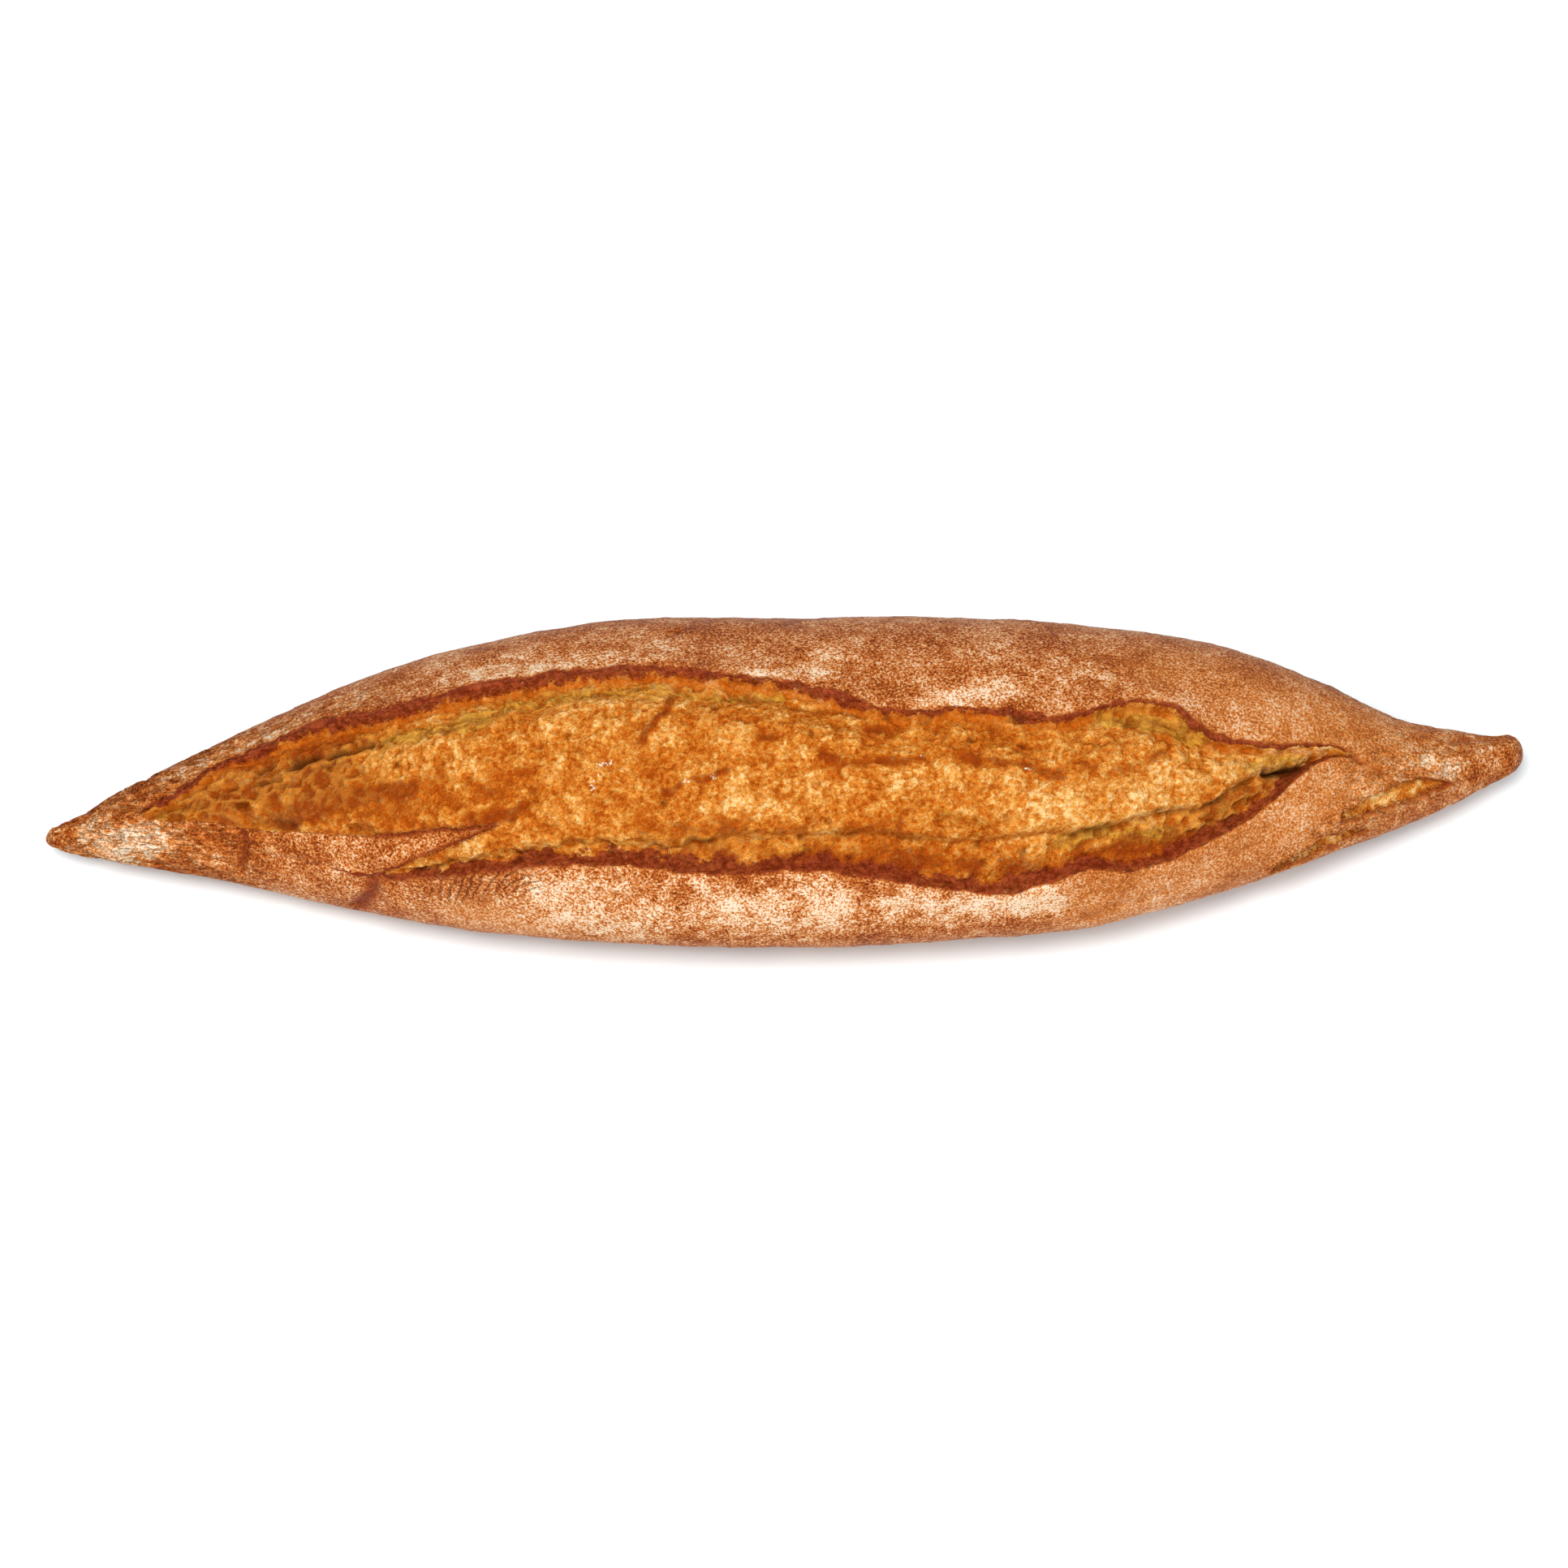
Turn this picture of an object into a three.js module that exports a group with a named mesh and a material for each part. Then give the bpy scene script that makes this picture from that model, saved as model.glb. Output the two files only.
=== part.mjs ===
// A rustic pointed baguette, baked as one piece, in millimetres with +Z up.
//
// The loaf lies along X on its flat sole. One long slash has opened along the top of its front
// side: a raised lip of crust behind it, a bulge of open crumb, a crevice, a lower terrace of
// crumb and then the lip of the front crust. The whole loaf is one closed surface over a grid:
// stations along X, and columns round the section that run along the lips of the slash.
import * as THREE from 'three';
import { mergeVertices } from 'three/addons/utils/BufferGeometryUtils.js';

// Driving dimensions
const LENGTH = 400; // tip to tip
const LEFT_NOSE = 8; // length over which the tip at -X rounds over
const RIGHT_NOSE = 6; // length over which the blunter tip at +X rounds over
const WIDEST_HALF = 47; // half-width where the loaf is widest
const HEIGHT_SLIM = 0.88; // height over width of the thin ends
const HEIGHT_LOSS = 0.23; // how much of that the widest part loses by slumping
const SOLE_SHARE = 0.38; // height of the widest line over the sole, as a share of the height
const BELLY_SHARE = 0.475; // how far the section would reach below its widest line, uncut by the sole
const TIP_LIFT = 7; // height of the underside of each tip over the table
const LIFT_START = 110; // distance from the middle at which the ends start to lift
const STATIONS = 104;

// Plan outline: place along the loaf, centre line's offset to the back, half-width
const OUTLINE = [
  [-200, -8.1, 3.3],
  [-192, -9.1, 5.0],
  [-182, -7.8, 8.9],
  [-165, -5.5, 14.8],
  [-145, -3.0, 21.9],
  [-115, -1.0, 32.4],
  [-80, -0.3, 41.0],
  [-40, 0.3, 46.2],
  [0, -0.2, 46.6],
  [40, 1.1, 45.8],
  [80, 2.7, 42.4],
  [115, 6.3, 34.8],
  [145, 7.8, 23.4],
  [165, 8.3, 15.0],
  [180, 11.2, 10.1],
  [192, 14.9, 6.3],
  [200, 17.9, 5.1],
];

// Angle of each lip of the slash, in degrees up from the front side and over the top
const REAR_LIP = [
  [-200, 76],
  [-176, 76],
  [-150, 98],
  [-120, 103],
  [-60, 106],
  [-18, 103],
  [20, 92],
  [60, 88],
  [92, 93],
  [112, 79],
  [150, 75],
  [200, 76],
];
const FRONT_LIP = [
  [-200, 70],
  [-176, 70],
  [-158, 54],
  [-132, 44],
  [-100, 42],
  [-70, 37],
  [-10, 35],
  [48, 25],
  [100, 27],
  [122, 42],
  [140, 64],
  [154, 70],
  [200, 70],
];
const SLASH_START = -176;
const SLASH_END = 154;
const SLASH_FADE = 26; // length over which each end of the slash closes up

// Depths of the opened slash, measured outwards from the plain section
const LIP_RISE = 1.2;
const REAR_HOLLOW = -3.2;
const CRUMB_RISE = 1.0;
const CREVICE = -4.0;
const TERRACE = -1.4;

// Columns across the slash: place from the front lip (0) to the rear lip (1), and the depth there
const SLASH_COLUMNS = [
  [-0.14, 0.3],
  [0, LIP_RISE],
  [0.05, TERRACE],
  [0.15, TERRACE],
  [0.2, CREVICE],
  [0.27, 0],
  [0.4, CRUMB_RISE],
  [0.55, CRUMB_RISE],
  [0.7, 0.2],
  [0.82, -1.4],
  [0.94, REAR_HOLLOW],
  [0.99, LIP_RISE],
  [1.08, 0.4],
];
const FRONT_COLUMNS = 7; // from the sole's front edge up to the slash
const BACK_COLUMNS = 11; // from the slash over the back down to the sole's rear edge
const COLUMNS = FRONT_COLUMNS + SLASH_COLUMNS.length + BACK_COLUMNS;

// A smooth curve through rows of [x, value, ...], read from the given column of each row
function along(rows, column = 1) {
  const slope = (i) => {
    const before = rows[Math.max(i - 1, 0)];
    const after = rows[Math.min(i + 1, rows.length - 1)];
    return (after[column] - before[column]) / (after[0] - before[0]);
  };
  return (x) => {
    let i = 0;
    while (i < rows.length - 2 && x > rows[i + 1][0]) i += 1;
    const step = rows[i + 1][0] - rows[i][0];
    const t = (x - rows[i][0]) / step;
    const rise = t * t * (3 - 2 * t);
    const leaving = t * (1 - t) * (1 - t) * step;
    const arriving = t * t * (t - 1) * step;
    return (
      rows[i][column] * (1 - rise) +
      rows[i + 1][column] * rise +
      leaving * slope(i) +
      arriving * slope(i + 1)
    );
  };
}

const centreLine = along(OUTLINE, 1);
const bodyHalfWidth = along(OUTLINE, 2);
const rearLip = along(REAR_LIP);
const frontLip = along(FRONT_LIP);

// The size and place of the section at one station
function sectionAt(x) {
  const nose = x < 0 ? LEFT_NOSE : RIGHT_NOSE;
  const intoNose = Math.max(0, (Math.abs(x) - LENGTH / 2 + nose) / nose);
  const halfWidth = bodyHalfWidth(x) * Math.sqrt(Math.max(0, 1 - intoNose * intoNose));
  const height = 2 * halfWidth * (HEIGHT_SLIM - (HEIGHT_LOSS * halfWidth) / WIDEST_HALF);
  const lift = TIP_LIFT * THREE.MathUtils.smoothstep(Math.abs(x), LIFT_START, LENGTH / 2);
  const widestLine = lift + SOLE_SHARE * height;
  const belly = BELLY_SHARE * height;
  // The angle below the widest line at which the section meets the table, or nearly straight down
  const soleDip = Math.asin(Math.min(0.995, widestLine / Math.max(belly, 1e-6)));
  return { x, halfWidth, height, widestLine, belly, soleDip };
}

// The angle and the outward depth of every column at one station
function columnsAt(section) {
  const { x, soleDip } = section;
  const front = THREE.MathUtils.degToRad(frontLip(x));
  const rear = THREE.MathUtils.degToRad(rearLip(x));
  const open =
    THREE.MathUtils.smoothstep(x, SLASH_START, SLASH_START + SLASH_FADE) *
    (1 - THREE.MathUtils.smoothstep(x, SLASH_END - SLASH_FADE, SLASH_END));
  const slash = SLASH_COLUMNS.map(([place, depth]) => ({
    angle: front + (rear - front) * place,
    depth: depth * open,
  }));
  const spread = (from, to, count) =>
    Array.from({ length: count }, (_, i) => ({ angle: from + ((to - from) * i) / count, depth: 0 }));
  const soleFront = -soleDip;
  const soleRear = Math.PI + soleDip;
  const slashFront = slash[0].angle;
  const slashRear = slash[slash.length - 1].angle;
  const backStep = (soleRear - slashRear) / BACK_COLUMNS;
  return [
    ...spread(soleFront, slashFront, FRONT_COLUMNS),
    ...slash,
    ...spread(slashRear + backStep, soleRear + backStep, BACK_COLUMNS),
  ];
}

// A point of the skin: a half-ellipse over the widest line and a flatter one under it, cut by
// the table, then moved outwards by the depth
function skinPoint(section, column) {
  const { x, halfWidth, height, widestLine, belly } = section;
  const outY = -Math.cos(column.angle);
  const outZ = Math.sin(column.angle);
  const reach = outZ > 0 ? (1 - SOLE_SHARE) * height : belly;
  return new THREE.Vector3(
    x,
    centreLine(x) + outY * (halfWidth + column.depth),
    Math.max(0, widestLine + outZ * (reach + column.depth)),
  );
}

// The loaf, as a sphere whose poles lie along X and whose vertices move to the skin
function loafGeometry() {
  const geometry = new THREE.SphereGeometry(1, COLUMNS, STATIONS);
  geometry.deleteAttribute('normal');
  geometry.deleteAttribute('uv');
  const position = geometry.getAttribute('position');
  for (let station = 0; station <= STATIONS; station += 1) {
    const x = (-LENGTH / 2) * Math.cos((Math.PI * station) / STATIONS);
    const section = sectionAt(x);
    const columns = columnsAt(section);
    for (let column = 0; column <= COLUMNS; column += 1) {
      const point = skinPoint(section, columns[column % COLUMNS]);
      position.setXYZ(station * (COLUMNS + 1) + column, point.x, point.y, point.z);
    }
  }
  const closed = mergeVertices(geometry, 1e-4);
  closed.computeBoundingBox();
  const { min, max } = closed.boundingBox;
  closed.translate(-(min.x + max.x) / 2, -(min.y + max.y) / 2, -min.z);
  return closed;
}

const crust = new THREE.MeshStandardMaterial({ color: 0xc8824a, roughness: 0.7, metalness: 0 });

const loaf = new THREE.Mesh(loafGeometry(), crust);
loaf.name = 'loaf';

const baguette = new THREE.Group();
baguette.add(loaf);

export default baguette;
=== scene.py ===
# %% [markdown]
# # A rustic baguette
# This file builds the look of a pointed, hand-shaped baguette round the loaf that the frame
# holds. The loaf is one baked body, so it is one closed mesh: a grid of stations along its
# length and columns round its section. The long slash, its torn crumb, the flour and the
# wrinkles are worked out as whole arrays with numpy, and the colour comes from one material.

import math

import bpy
import numpy as np
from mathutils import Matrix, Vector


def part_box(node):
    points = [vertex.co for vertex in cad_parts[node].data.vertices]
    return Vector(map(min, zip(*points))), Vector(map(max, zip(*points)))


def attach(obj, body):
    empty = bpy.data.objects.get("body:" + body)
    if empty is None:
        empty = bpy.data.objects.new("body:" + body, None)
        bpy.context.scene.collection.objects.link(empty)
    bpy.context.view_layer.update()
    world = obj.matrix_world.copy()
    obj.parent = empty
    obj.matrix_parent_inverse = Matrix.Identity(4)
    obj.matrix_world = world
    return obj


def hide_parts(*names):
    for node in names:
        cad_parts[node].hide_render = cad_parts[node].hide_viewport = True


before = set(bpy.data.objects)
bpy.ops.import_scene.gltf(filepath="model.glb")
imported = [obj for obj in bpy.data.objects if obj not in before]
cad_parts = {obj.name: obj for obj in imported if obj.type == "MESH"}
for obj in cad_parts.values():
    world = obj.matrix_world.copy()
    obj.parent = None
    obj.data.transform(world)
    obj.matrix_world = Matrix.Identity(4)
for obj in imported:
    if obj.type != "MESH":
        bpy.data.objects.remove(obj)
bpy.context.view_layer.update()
node_low, node_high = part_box("loaf")
print("frame loaf:", [round(v, 4) for v in node_high - node_low])

# %% [markdown]
# ## Sizes
# Every size below is in millimetres on a loaf drawn 400 mm long. The frame's loaf says how long
# it really is, and one factor takes the finished points from drawn millimetres to metres, so the
# drawing stays readable and the piece still follows the frame.

# %% Driving sizes
DRAWN_LENGTH = 400.0
TO_METRES = (node_high.x - node_low.x) / DRAWN_LENGTH
LEFT_NOSE = 8.0
RIGHT_NOSE = 6.0
WIDEST_HALF = 47.0
HEIGHT_SLIM = 0.88
HEIGHT_LOSS = 0.23
SOLE_SHARE = 0.38
BELLY_SHARE = 0.475
TIP_LIFT = 7.0
LIFT_START = 110.0
print("drawn millimetres to metres:", round(TO_METRES, 6))

# %% [markdown]
# ## Tools for whole arrays
# A smooth step, a window of two such steps, a soft bell and a smooth curve through a few rows
# are all that the shape needs. They take whole arrays, so one line works on every vertex of the
# loaf at once.


# %% Steps, bells and curves
def smooth(low, high, value):
    """0 below low, 1 above high, and 3t^2 - 2t^3 between, where t is the way from low to high."""
    t = np.clip((value - low) / (high - low), 0.0, 1.0)
    return t * t * (3 - 2 * t)


def window(low, full, still, high, value):
    """Between two soft steps: up from low to full, and down again from still to high."""
    return smooth(low, full, value) * (1 - smooth(still, high, value))


def bell(distance, width):
    """exp(-(distance / width)^2): 1 on the line, and nearly gone two widths away."""
    return np.exp(-((distance / width) ** 2))


def along(rows, x, column=1):
    """A cubic through the rows (place, value, ...): at each row the slope is that between its
    two neighbours, and between rows the four Hermite weights mix values and slopes."""
    places = np.array([row[0] for row in rows], float)
    values = np.array([row[column] for row in rows], float)
    slopes = np.gradient(values, places)
    i = np.clip(np.searchsorted(places, x, side="right") - 1, 0, len(places) - 2)
    step = places[i + 1] - places[i]
    t = np.clip((x - places[i]) / step, 0.0, 1.0)
    rise = t * t * (3 - 2 * t)
    curve = values[i] * (1 - rise) + values[i + 1] * rise
    curve += t * (1 - t) ** 2 * step * slopes[i]
    return curve - t * t * (1 - t) * step * slopes[i + 1]


print("smooth step at its middle:", float(smooth(0.0, 1.0, 0.5)))

# %% [markdown]
# ## Seeded noise
# Dough is random but has to come out the same each time. The corners of a lattice get repeatable
# random numbers from a hash, so there is no random state to keep. Gradient noise makes soft
# hills, its octaves make rough crumb, and cell noise makes bubbles and pores.


# %% Noise on arrays of points
HASH_STEPS = np.array([374761393, 668265263, 2147483647], np.uint64)
# Brings the sum of the corner slopes to about -1 to 1
NOISE_GAIN = 1.6
# Longer than any distance that is measured
FAR = 1e3


def corner_values(corners, seed):
    """A repeatable value from 0 to 1 for each whole-number corner: its three numbers are
    multiplied by large odd ones and summed, and the sum's bits are mixed."""
    n = (corners.astype(np.int64).view(np.uint64) * HASH_STEPS).sum(-1)
    n = (n + np.uint64(seed * 1274126177)) & np.uint64(0xFFFFFFFF)
    for shift, factor in ((13, 1274126177), (16, 2246822519)):
        n = ((n ^ (n >> np.uint64(shift))) * np.uint64(factor)) & np.uint64(0xFFFFFFFF)
    return (n ^ (n >> np.uint64(15))).astype(float) / 0xFFFFFFFF


def noise(points, period, seed):
    """Soft hills, about -1 to 1: each of a cell's 8 corners has a random slope, and the heights
    that the slopes give at the point are mixed by the weights 6t^5 - 15t^4 + 10t^3."""
    p = points / period
    cell = np.floor(p)
    t = p - cell
    weight = t * t * t * (t * (t * 6 - 15) + 10)
    total = np.zeros(points.shape[:-1])
    for corner in range(8):
        step = np.array([corner & 1, corner >> 1 & 1, corner >> 2 & 1], float)
        share = np.prod(np.where(step > 0, weight, 1 - weight), axis=-1)
        for axis in range(3):
            slope = 2 * corner_values(cell + step, seed * 3 + axis) - 1
            total += share * slope * (t[..., axis] - step[axis])
    return NOISE_GAIN * total


def fractal(points, period, seed, octaves=3, gain=0.5):
    """Noise octaves added up, each with half the period and gain times the height of the last."""
    total = np.zeros(points.shape[:-1])
    for octave in range(octaves):
        total += gain**octave * noise(points, period / 2**octave, seed + octave)
    return total


def cells(points, period, seed):
    """Cell noise: each lattice cell holds one random point. Gives the distance to the nearest
    one, the distance to the second nearest, and the nearest one's own random value."""
    p = points / period
    cell = np.floor(p)
    first = np.full(points.shape[:-1], FAR)
    second = first.copy()
    own = np.zeros_like(first)
    for number in range(27):
        corner = cell + np.array([number % 3, number // 3 % 3, number // 9], float) - 1
        spot = corner + np.stack([corner_values(corner, seed + axis) for axis in range(3)], -1)
        distance = np.linalg.norm(spot - p, axis=-1)
        nearer = distance < first
        second = np.where(nearer, first, np.minimum(second, distance))
        own = np.where(nearer, corner_values(corner, seed + 7), own)
        first = np.where(nearer, distance, first)
    return first, second, own


def spots(found, inner, outer, least):
    """Round marks from cell noise: 1 within the inner distance of a point and 0 beyond the outer,
    only round those points whose own value is over the least."""
    return (1 - smooth(inner, outer, found[0])) * (found[2] > least)


print("noise at a point:", round(float(noise(np.array([[1.3, 2.2, 0.7]]), 1.0, 5)[0]), 4))

# %% [markdown]
# ## The plain loaf
# Before it is slashed, the loaf is a row of sections: a half-ellipse above its widest line and a
# flatter one below it, cut by the table. The outline gives each section its half-width and how
# far its centre lies to the back. Angles go round the section in degrees: 0 at the front side,
# 90 on top, 180 at the back and 270 under the loaf.

# %% Outline and plain section
# Place along the loaf, centre line's offset to the back, half-width
OUTLINE = [
    (-200, -8.1, 3.3), (-192, -9.1, 5.0), (-182, -7.8, 8.9), (-165, -5.5, 14.8), (-145, -3.0, 21.9),
    (-115, -1.0, 32.4), (-80, -0.3, 41.0), (-40, 0.3, 46.2), (0, -0.2, 46.6), (40, 1.1, 45.8),
    (80, 2.7, 42.4), (115, 6.3, 34.8), (145, 7.8, 23.4), (165, 8.3, 15.0), (180, 11.2, 10.1),
    (192, 14.9, 6.3), (200, 17.9, 5.1),
]


def section_at(x):
    """Sizes of the section at each place x: the half-width shrinks as an ellipse in the noses,
    the height is the width times a share that falls as the loaf gets wider, and the tips lift."""
    half_length = DRAWN_LENGTH / 2
    nose = np.where(x < 0, LEFT_NOSE, RIGHT_NOSE)
    into_nose = np.clip((np.abs(x) - half_length + nose) / nose, 0, 1)
    half_width = along(OUTLINE, x, 2) * np.sqrt(1 - into_nose**2)
    height = 2 * half_width * (HEIGHT_SLIM - HEIGHT_LOSS * half_width / WIDEST_HALF)
    lift = TIP_LIFT * smooth(LIFT_START, half_length, np.abs(x))
    widest_line = lift + SOLE_SHARE * height
    belly = BELLY_SHARE * height
    sole_dip = np.degrees(np.arcsin(np.minimum(0.995, widest_line / np.maximum(belly, 1e-6))))
    return half_width, height, widest_line, belly, sole_dip


def plain_skin(x, angle):
    """Points of the unslashed skin: across by the cosine and up by the sine of the angle, with
    the sole held at the table, and the millimetres of skin per degree at each point."""
    half_width, height, widest_line, belly, _ = section_at(x)
    turn = np.radians(angle)
    reach = np.where(np.sin(turn) > 0, (1 - SOLE_SHARE) * height, belly)
    y = along(OUTLINE, x, 1) - np.cos(turn) * half_width
    z = np.maximum(widest_line + np.sin(turn) * reach, 0.0)
    per_degree = np.hypot(half_width * np.sin(turn), reach * np.cos(turn)) * np.pi / 180
    return np.stack([x + 0 * turn, y, z], -1), per_degree


print("widest section, height:", round(float(section_at(np.array([0.0]))[1][0]), 1))

# %% [markdown]
# ## The lines of the slash
# A baker's blade opens the loaf along one line, and the oven tears it wide. Four lines describe
# what is left: the lip of the front crust, the crevice under the crumb, the upper edge of a
# tongue of crust that stayed on at the left, and the rear lip. Each is a smooth curve of the
# angle over the place along the loaf, with a little seeded raggedness, as torn dough has.
# At the tips, where there is no slash, the same lines spread out so that the grid stays even.

# %% Lines of the slash
FRONT_LIP = [
    (-200, 20), (-178, 62), (-160, 46), (-140, 31), (-120, 25), (-105, 24), (-90, 28),
    (-74, 33), (-60, 35), (-44, 36), (-27, 34), (-14, 33.5), (-4, 34.5), (8, 34.5), (20, 31.5),
    (38, 26), (56, 22), (66, 25), (76, 29), (88, 26), (100, 27), (110, 33), (122, 42),
    (133, 57), (141, 67), (151, 72), (170, 50), (200, 20),
]
CREVICE = [
    (-200, 45), (-177, 66), (-160, 50), (-140, 36), (-120, 28), (-105, 27), (-94, 31),
    (-83, 35), (-69, 39.5), (-55, 43), (-40, 43), (-25, 43), (-15, 46), (-2, 46.5),
    (10, 47.5), (28, 45), (41, 42.5), (59, 43), (80, 44), (97, 47), (109, 47.5),
    (116, 54), (126, 61), (136, 66), (143, 70), (151, 73), (170, 62), (200, 50),
]
TONGUE_TOP = [
    (-200, 60), (-176, 69), (-163, 57), (-156, 55), (-150, 51), (-142, 46), (-125, 45),
    (-104, 45), (-88, 49), (-72, 51), (-62, 55), (-50, 54), (-30, 55), (0, 58), (40, 58),
    (80, 60), (110, 62), (130, 68), (143, 72), (151, 74), (170, 76), (200, 80),
]
REAR_LIP = [
    (-200, 120), (-177, 73), (-168, 78), (-162, 84), (-156, 94), (-150, 99), (-142, 100),
    (-126, 104), (-104, 101), (-87, 104), (-61, 106), (-36, 106), (-19, 104), (-4, 102),
    (9, 97), (19, 92), (30, 89), (44, 90), (57, 89), (68, 86.5), (76, 89), (87, 93),
    (95, 92.5), (101, 90), (105, 83), (110, 78), (119, 76), (126, 75), (135, 77),
    (144, 78), (151, 75), (170, 100), (200, 120),
]
# The tongue's lower edge, which drops away where the tongue joins the front crust
TONGUE_FOOT = [
    (-200, -60), (-112, -20), (-106, 24), (-101, 31), (-94, 37.5), (-86, 43), (-79, 48),
    (-73, 53), (-69, 60), (-64, 74), (-54, 90), (200, 90),
]
RAGGED_LIP = 0.7


def ragged(x, seed, size):
    """Unevenness of a torn edge along the loaf, in millimetres: three octaves of noise over the
    place along the loaf only, so that every column that follows the edge moves with it."""
    spots = np.stack([x, 0 * x + seed * 3.7, 0 * x], -1)
    return size * fractal(spots, 6.5, seed, 3, 0.65)


def slash_lines(x):
    """The four lines at each place, in degrees, with the front and rear lips made ragged. The
    raggedness fades outside the slash, and is turned from millimetres to degrees there."""
    inside = window(-178, -160, 140, 154, x)
    half_width, height = section_at(x)[:2]
    degrees_per_mm = inside / np.maximum(np.radians(0.5 * (half_width + 0.6 * height)), 0.1)
    front = along(FRONT_LIP, x) + degrees_per_mm * ragged(x, 11, RAGGED_LIP)
    crevice = along(CREVICE, x) + degrees_per_mm * ragged(x, 12, 0.6 * RAGGED_LIP)
    tongue = along(TONGUE_TOP, x) + degrees_per_mm * ragged(x, 13, 0.5 * RAGGED_LIP)
    rear = along(REAR_LIP, x) + degrees_per_mm * ragged(x, 14, RAGGED_LIP)
    crevice = np.maximum(crevice, front + 1.0)
    tongue = np.maximum(tongue, crevice + 1.0)
    return front, crevice, tongue, np.maximum(rear, tongue + 1.0)


print("slash at the middle, degrees:", [round(float(v[0]), 1) for v in slash_lines(np.zeros(1))])

# %% [markdown]
# ## The grid
# The loaf needs fine columns where the crumb is torn and can do with coarse ones underneath. So
# the columns are shared out between guide lines, and a guide lies exactly on each lip: the
# edge of the crust is then a row of vertices and stays crisp. The stations are evenly spaced,
# but follow a quarter circle in each nose so that the tips close round.

# %% Stations, guides and columns
BODY_STATIONS = 452
NOSE_STATIONS = 9
# Columns between one guide and the next, from the front edge of the sole over the top and back
# under the loaf
BAND_COLUMNS = (10, 18, 8, 13, 20, 46, 16, 8, 10, 20, 14, 10)


def stations():
    """Places along the loaf: even steps between the noses, and in each nose the sines of even
    angles, so the last step closes the tip as a ball does."""
    left, right = LEFT_NOSE - DRAWN_LENGTH / 2, DRAWN_LENGTH / 2 - RIGHT_NOSE
    turn = np.sin(np.linspace(0, np.pi / 2, NOSE_STATIONS + 1)[1:])
    body = np.linspace(left, right, BODY_STATIONS)
    return np.concatenate([left - LEFT_NOSE * turn[::-1], body, right + RIGHT_NOSE * turn])


def guide_angles(x):
    """Angles of the guide lines at each place: the sole's edges, the four slash lines, and lines
    a few degrees outside and inside the lips, which hold the finest columns."""
    dip = section_at(x)[4]
    front, crevice, tongue, rear = slash_lines(x)
    under_rear = np.maximum(rear - 13.0, 0.5 * (tongue + rear))
    above_rear = rear + 7.0
    below_front = front - 8.0
    low_front = 0.5 * (below_front - dip) - 6.0
    back = np.full_like(x, 176.0)
    over_back = 0.55 * above_rear + 0.45 * back
    return [
        -dip, low_front, below_front, front, crevice, tongue, under_rear, rear,
        above_rear, over_back, back, 180.0 + dip, 360.0 - dip,
    ]


def column_angles(x):
    """The angle of every column at each place: each band between two guides is shared evenly
    among its columns."""
    guides = guide_angles(x)
    bands = []
    for low, high, count in zip(guides, guides[1:], BAND_COLUMNS):
        share = np.arange(count) / count
        bands.append(low[:, None] * (1 - share) + high[:, None] * share)
    return np.concatenate(bands, 1)


PLACES = stations()
ANGLES = column_angles(PLACES)
X = np.repeat(PLACES[:, None], ANGLES.shape[1], 1)
PLAIN, PER_DEGREE = plain_skin(X, ANGLES)
FRONT, CREV, TONGUE, REAR = (line[:, None] for line in slash_lines(PLACES))
triangles = 2 * ANGLES.shape[1] * (len(PLACES) - 2)
print("grid:", ANGLES.shape, "triangles:", triangles)

# %% [markdown]
# ## Places on the skin
# Creases, cracks, blisters and flour lie at places on the skin: how far along the loaf, and at
# which angle. A stroke is a path of such places. Its distance from every vertex is measured on
# the skin in millimetres, over coordinates that noise has pushed about a little, so that no
# stroke has a ruled edge.

# %% Strokes on the skin
WARP_X = X + 0.9 * fractal(PLAIN, 7.0, 21, 2)
WARP_ANGLE = ANGLES + 0.9 * fractal(PLAIN, 7.0, 23, 2) / np.maximum(PER_DEGREE, 0.08)


def distance_to(path):
    """Distance on the skin from every vertex to a path of (place, angle) points: the least
    distance to any of its straight pieces, with angles turned to millimetres at the vertex."""
    nearest = np.full(X.shape, FAR)
    for start, end in zip(path, path[1:] or path):
        run_x = end[0] - start[0]
        run_y = (end[1] - start[1]) * PER_DEGREE
        to_x = WARP_X - start[0]
        to_y = (WARP_ANGLE - start[1]) * PER_DEGREE
        share = np.clip((to_x * run_x + to_y * run_y) / (run_x**2 + run_y**2 + 1e-6), 0, 1)
        nearest = np.minimum(nearest, np.hypot(to_x - share * run_x, to_y - share * run_y))
    return nearest


def strokes(rows):
    """Soft strokes added up: each row is (path, width, amount), and gives its amount times a
    bell of the distance to the path."""
    total = np.zeros(X.shape)
    for path, width, amount in rows:
        total += amount * bell(distance_to(path), width)
    return total


def marks(rows, sway=1):
    """Strokes that are scaled by a sway and held between 0 and 1."""
    return np.clip(strokes(rows) * sway, 0, 1)


# Distances in millimetres of skin from each line of the slash, growing towards the back
from_front = (ANGLES - FRONT) * PER_DEGREE
from_crevice = (ANGLES - CREV) * PER_DEGREE
from_tongue = (ANGLES - TONGUE) * PER_DEGREE
from_rear = (ANGLES - REAR) * PER_DEGREE
from_foot = (ANGLES - along(TONGUE_FOOT, X)) * PER_DEGREE
half_way = len(PLACES) // 2
opened = (from_front[half_way] > 0) & (from_rear[half_way] < 0)
print("slash across the middle, mm:", round(float(np.ptp(PLAIN[half_way, opened, 1])), 1))

# %% [markdown]
# ## Where the crumb shows
# The crumb shows between the lips, except on the tongue. The three edges are combined the way
# solid shapes are cut from each other: the least distance to any edge is how deep inside the
# torn area a vertex lies. Two small tears on the right shoulder are lens shapes of their own.

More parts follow.
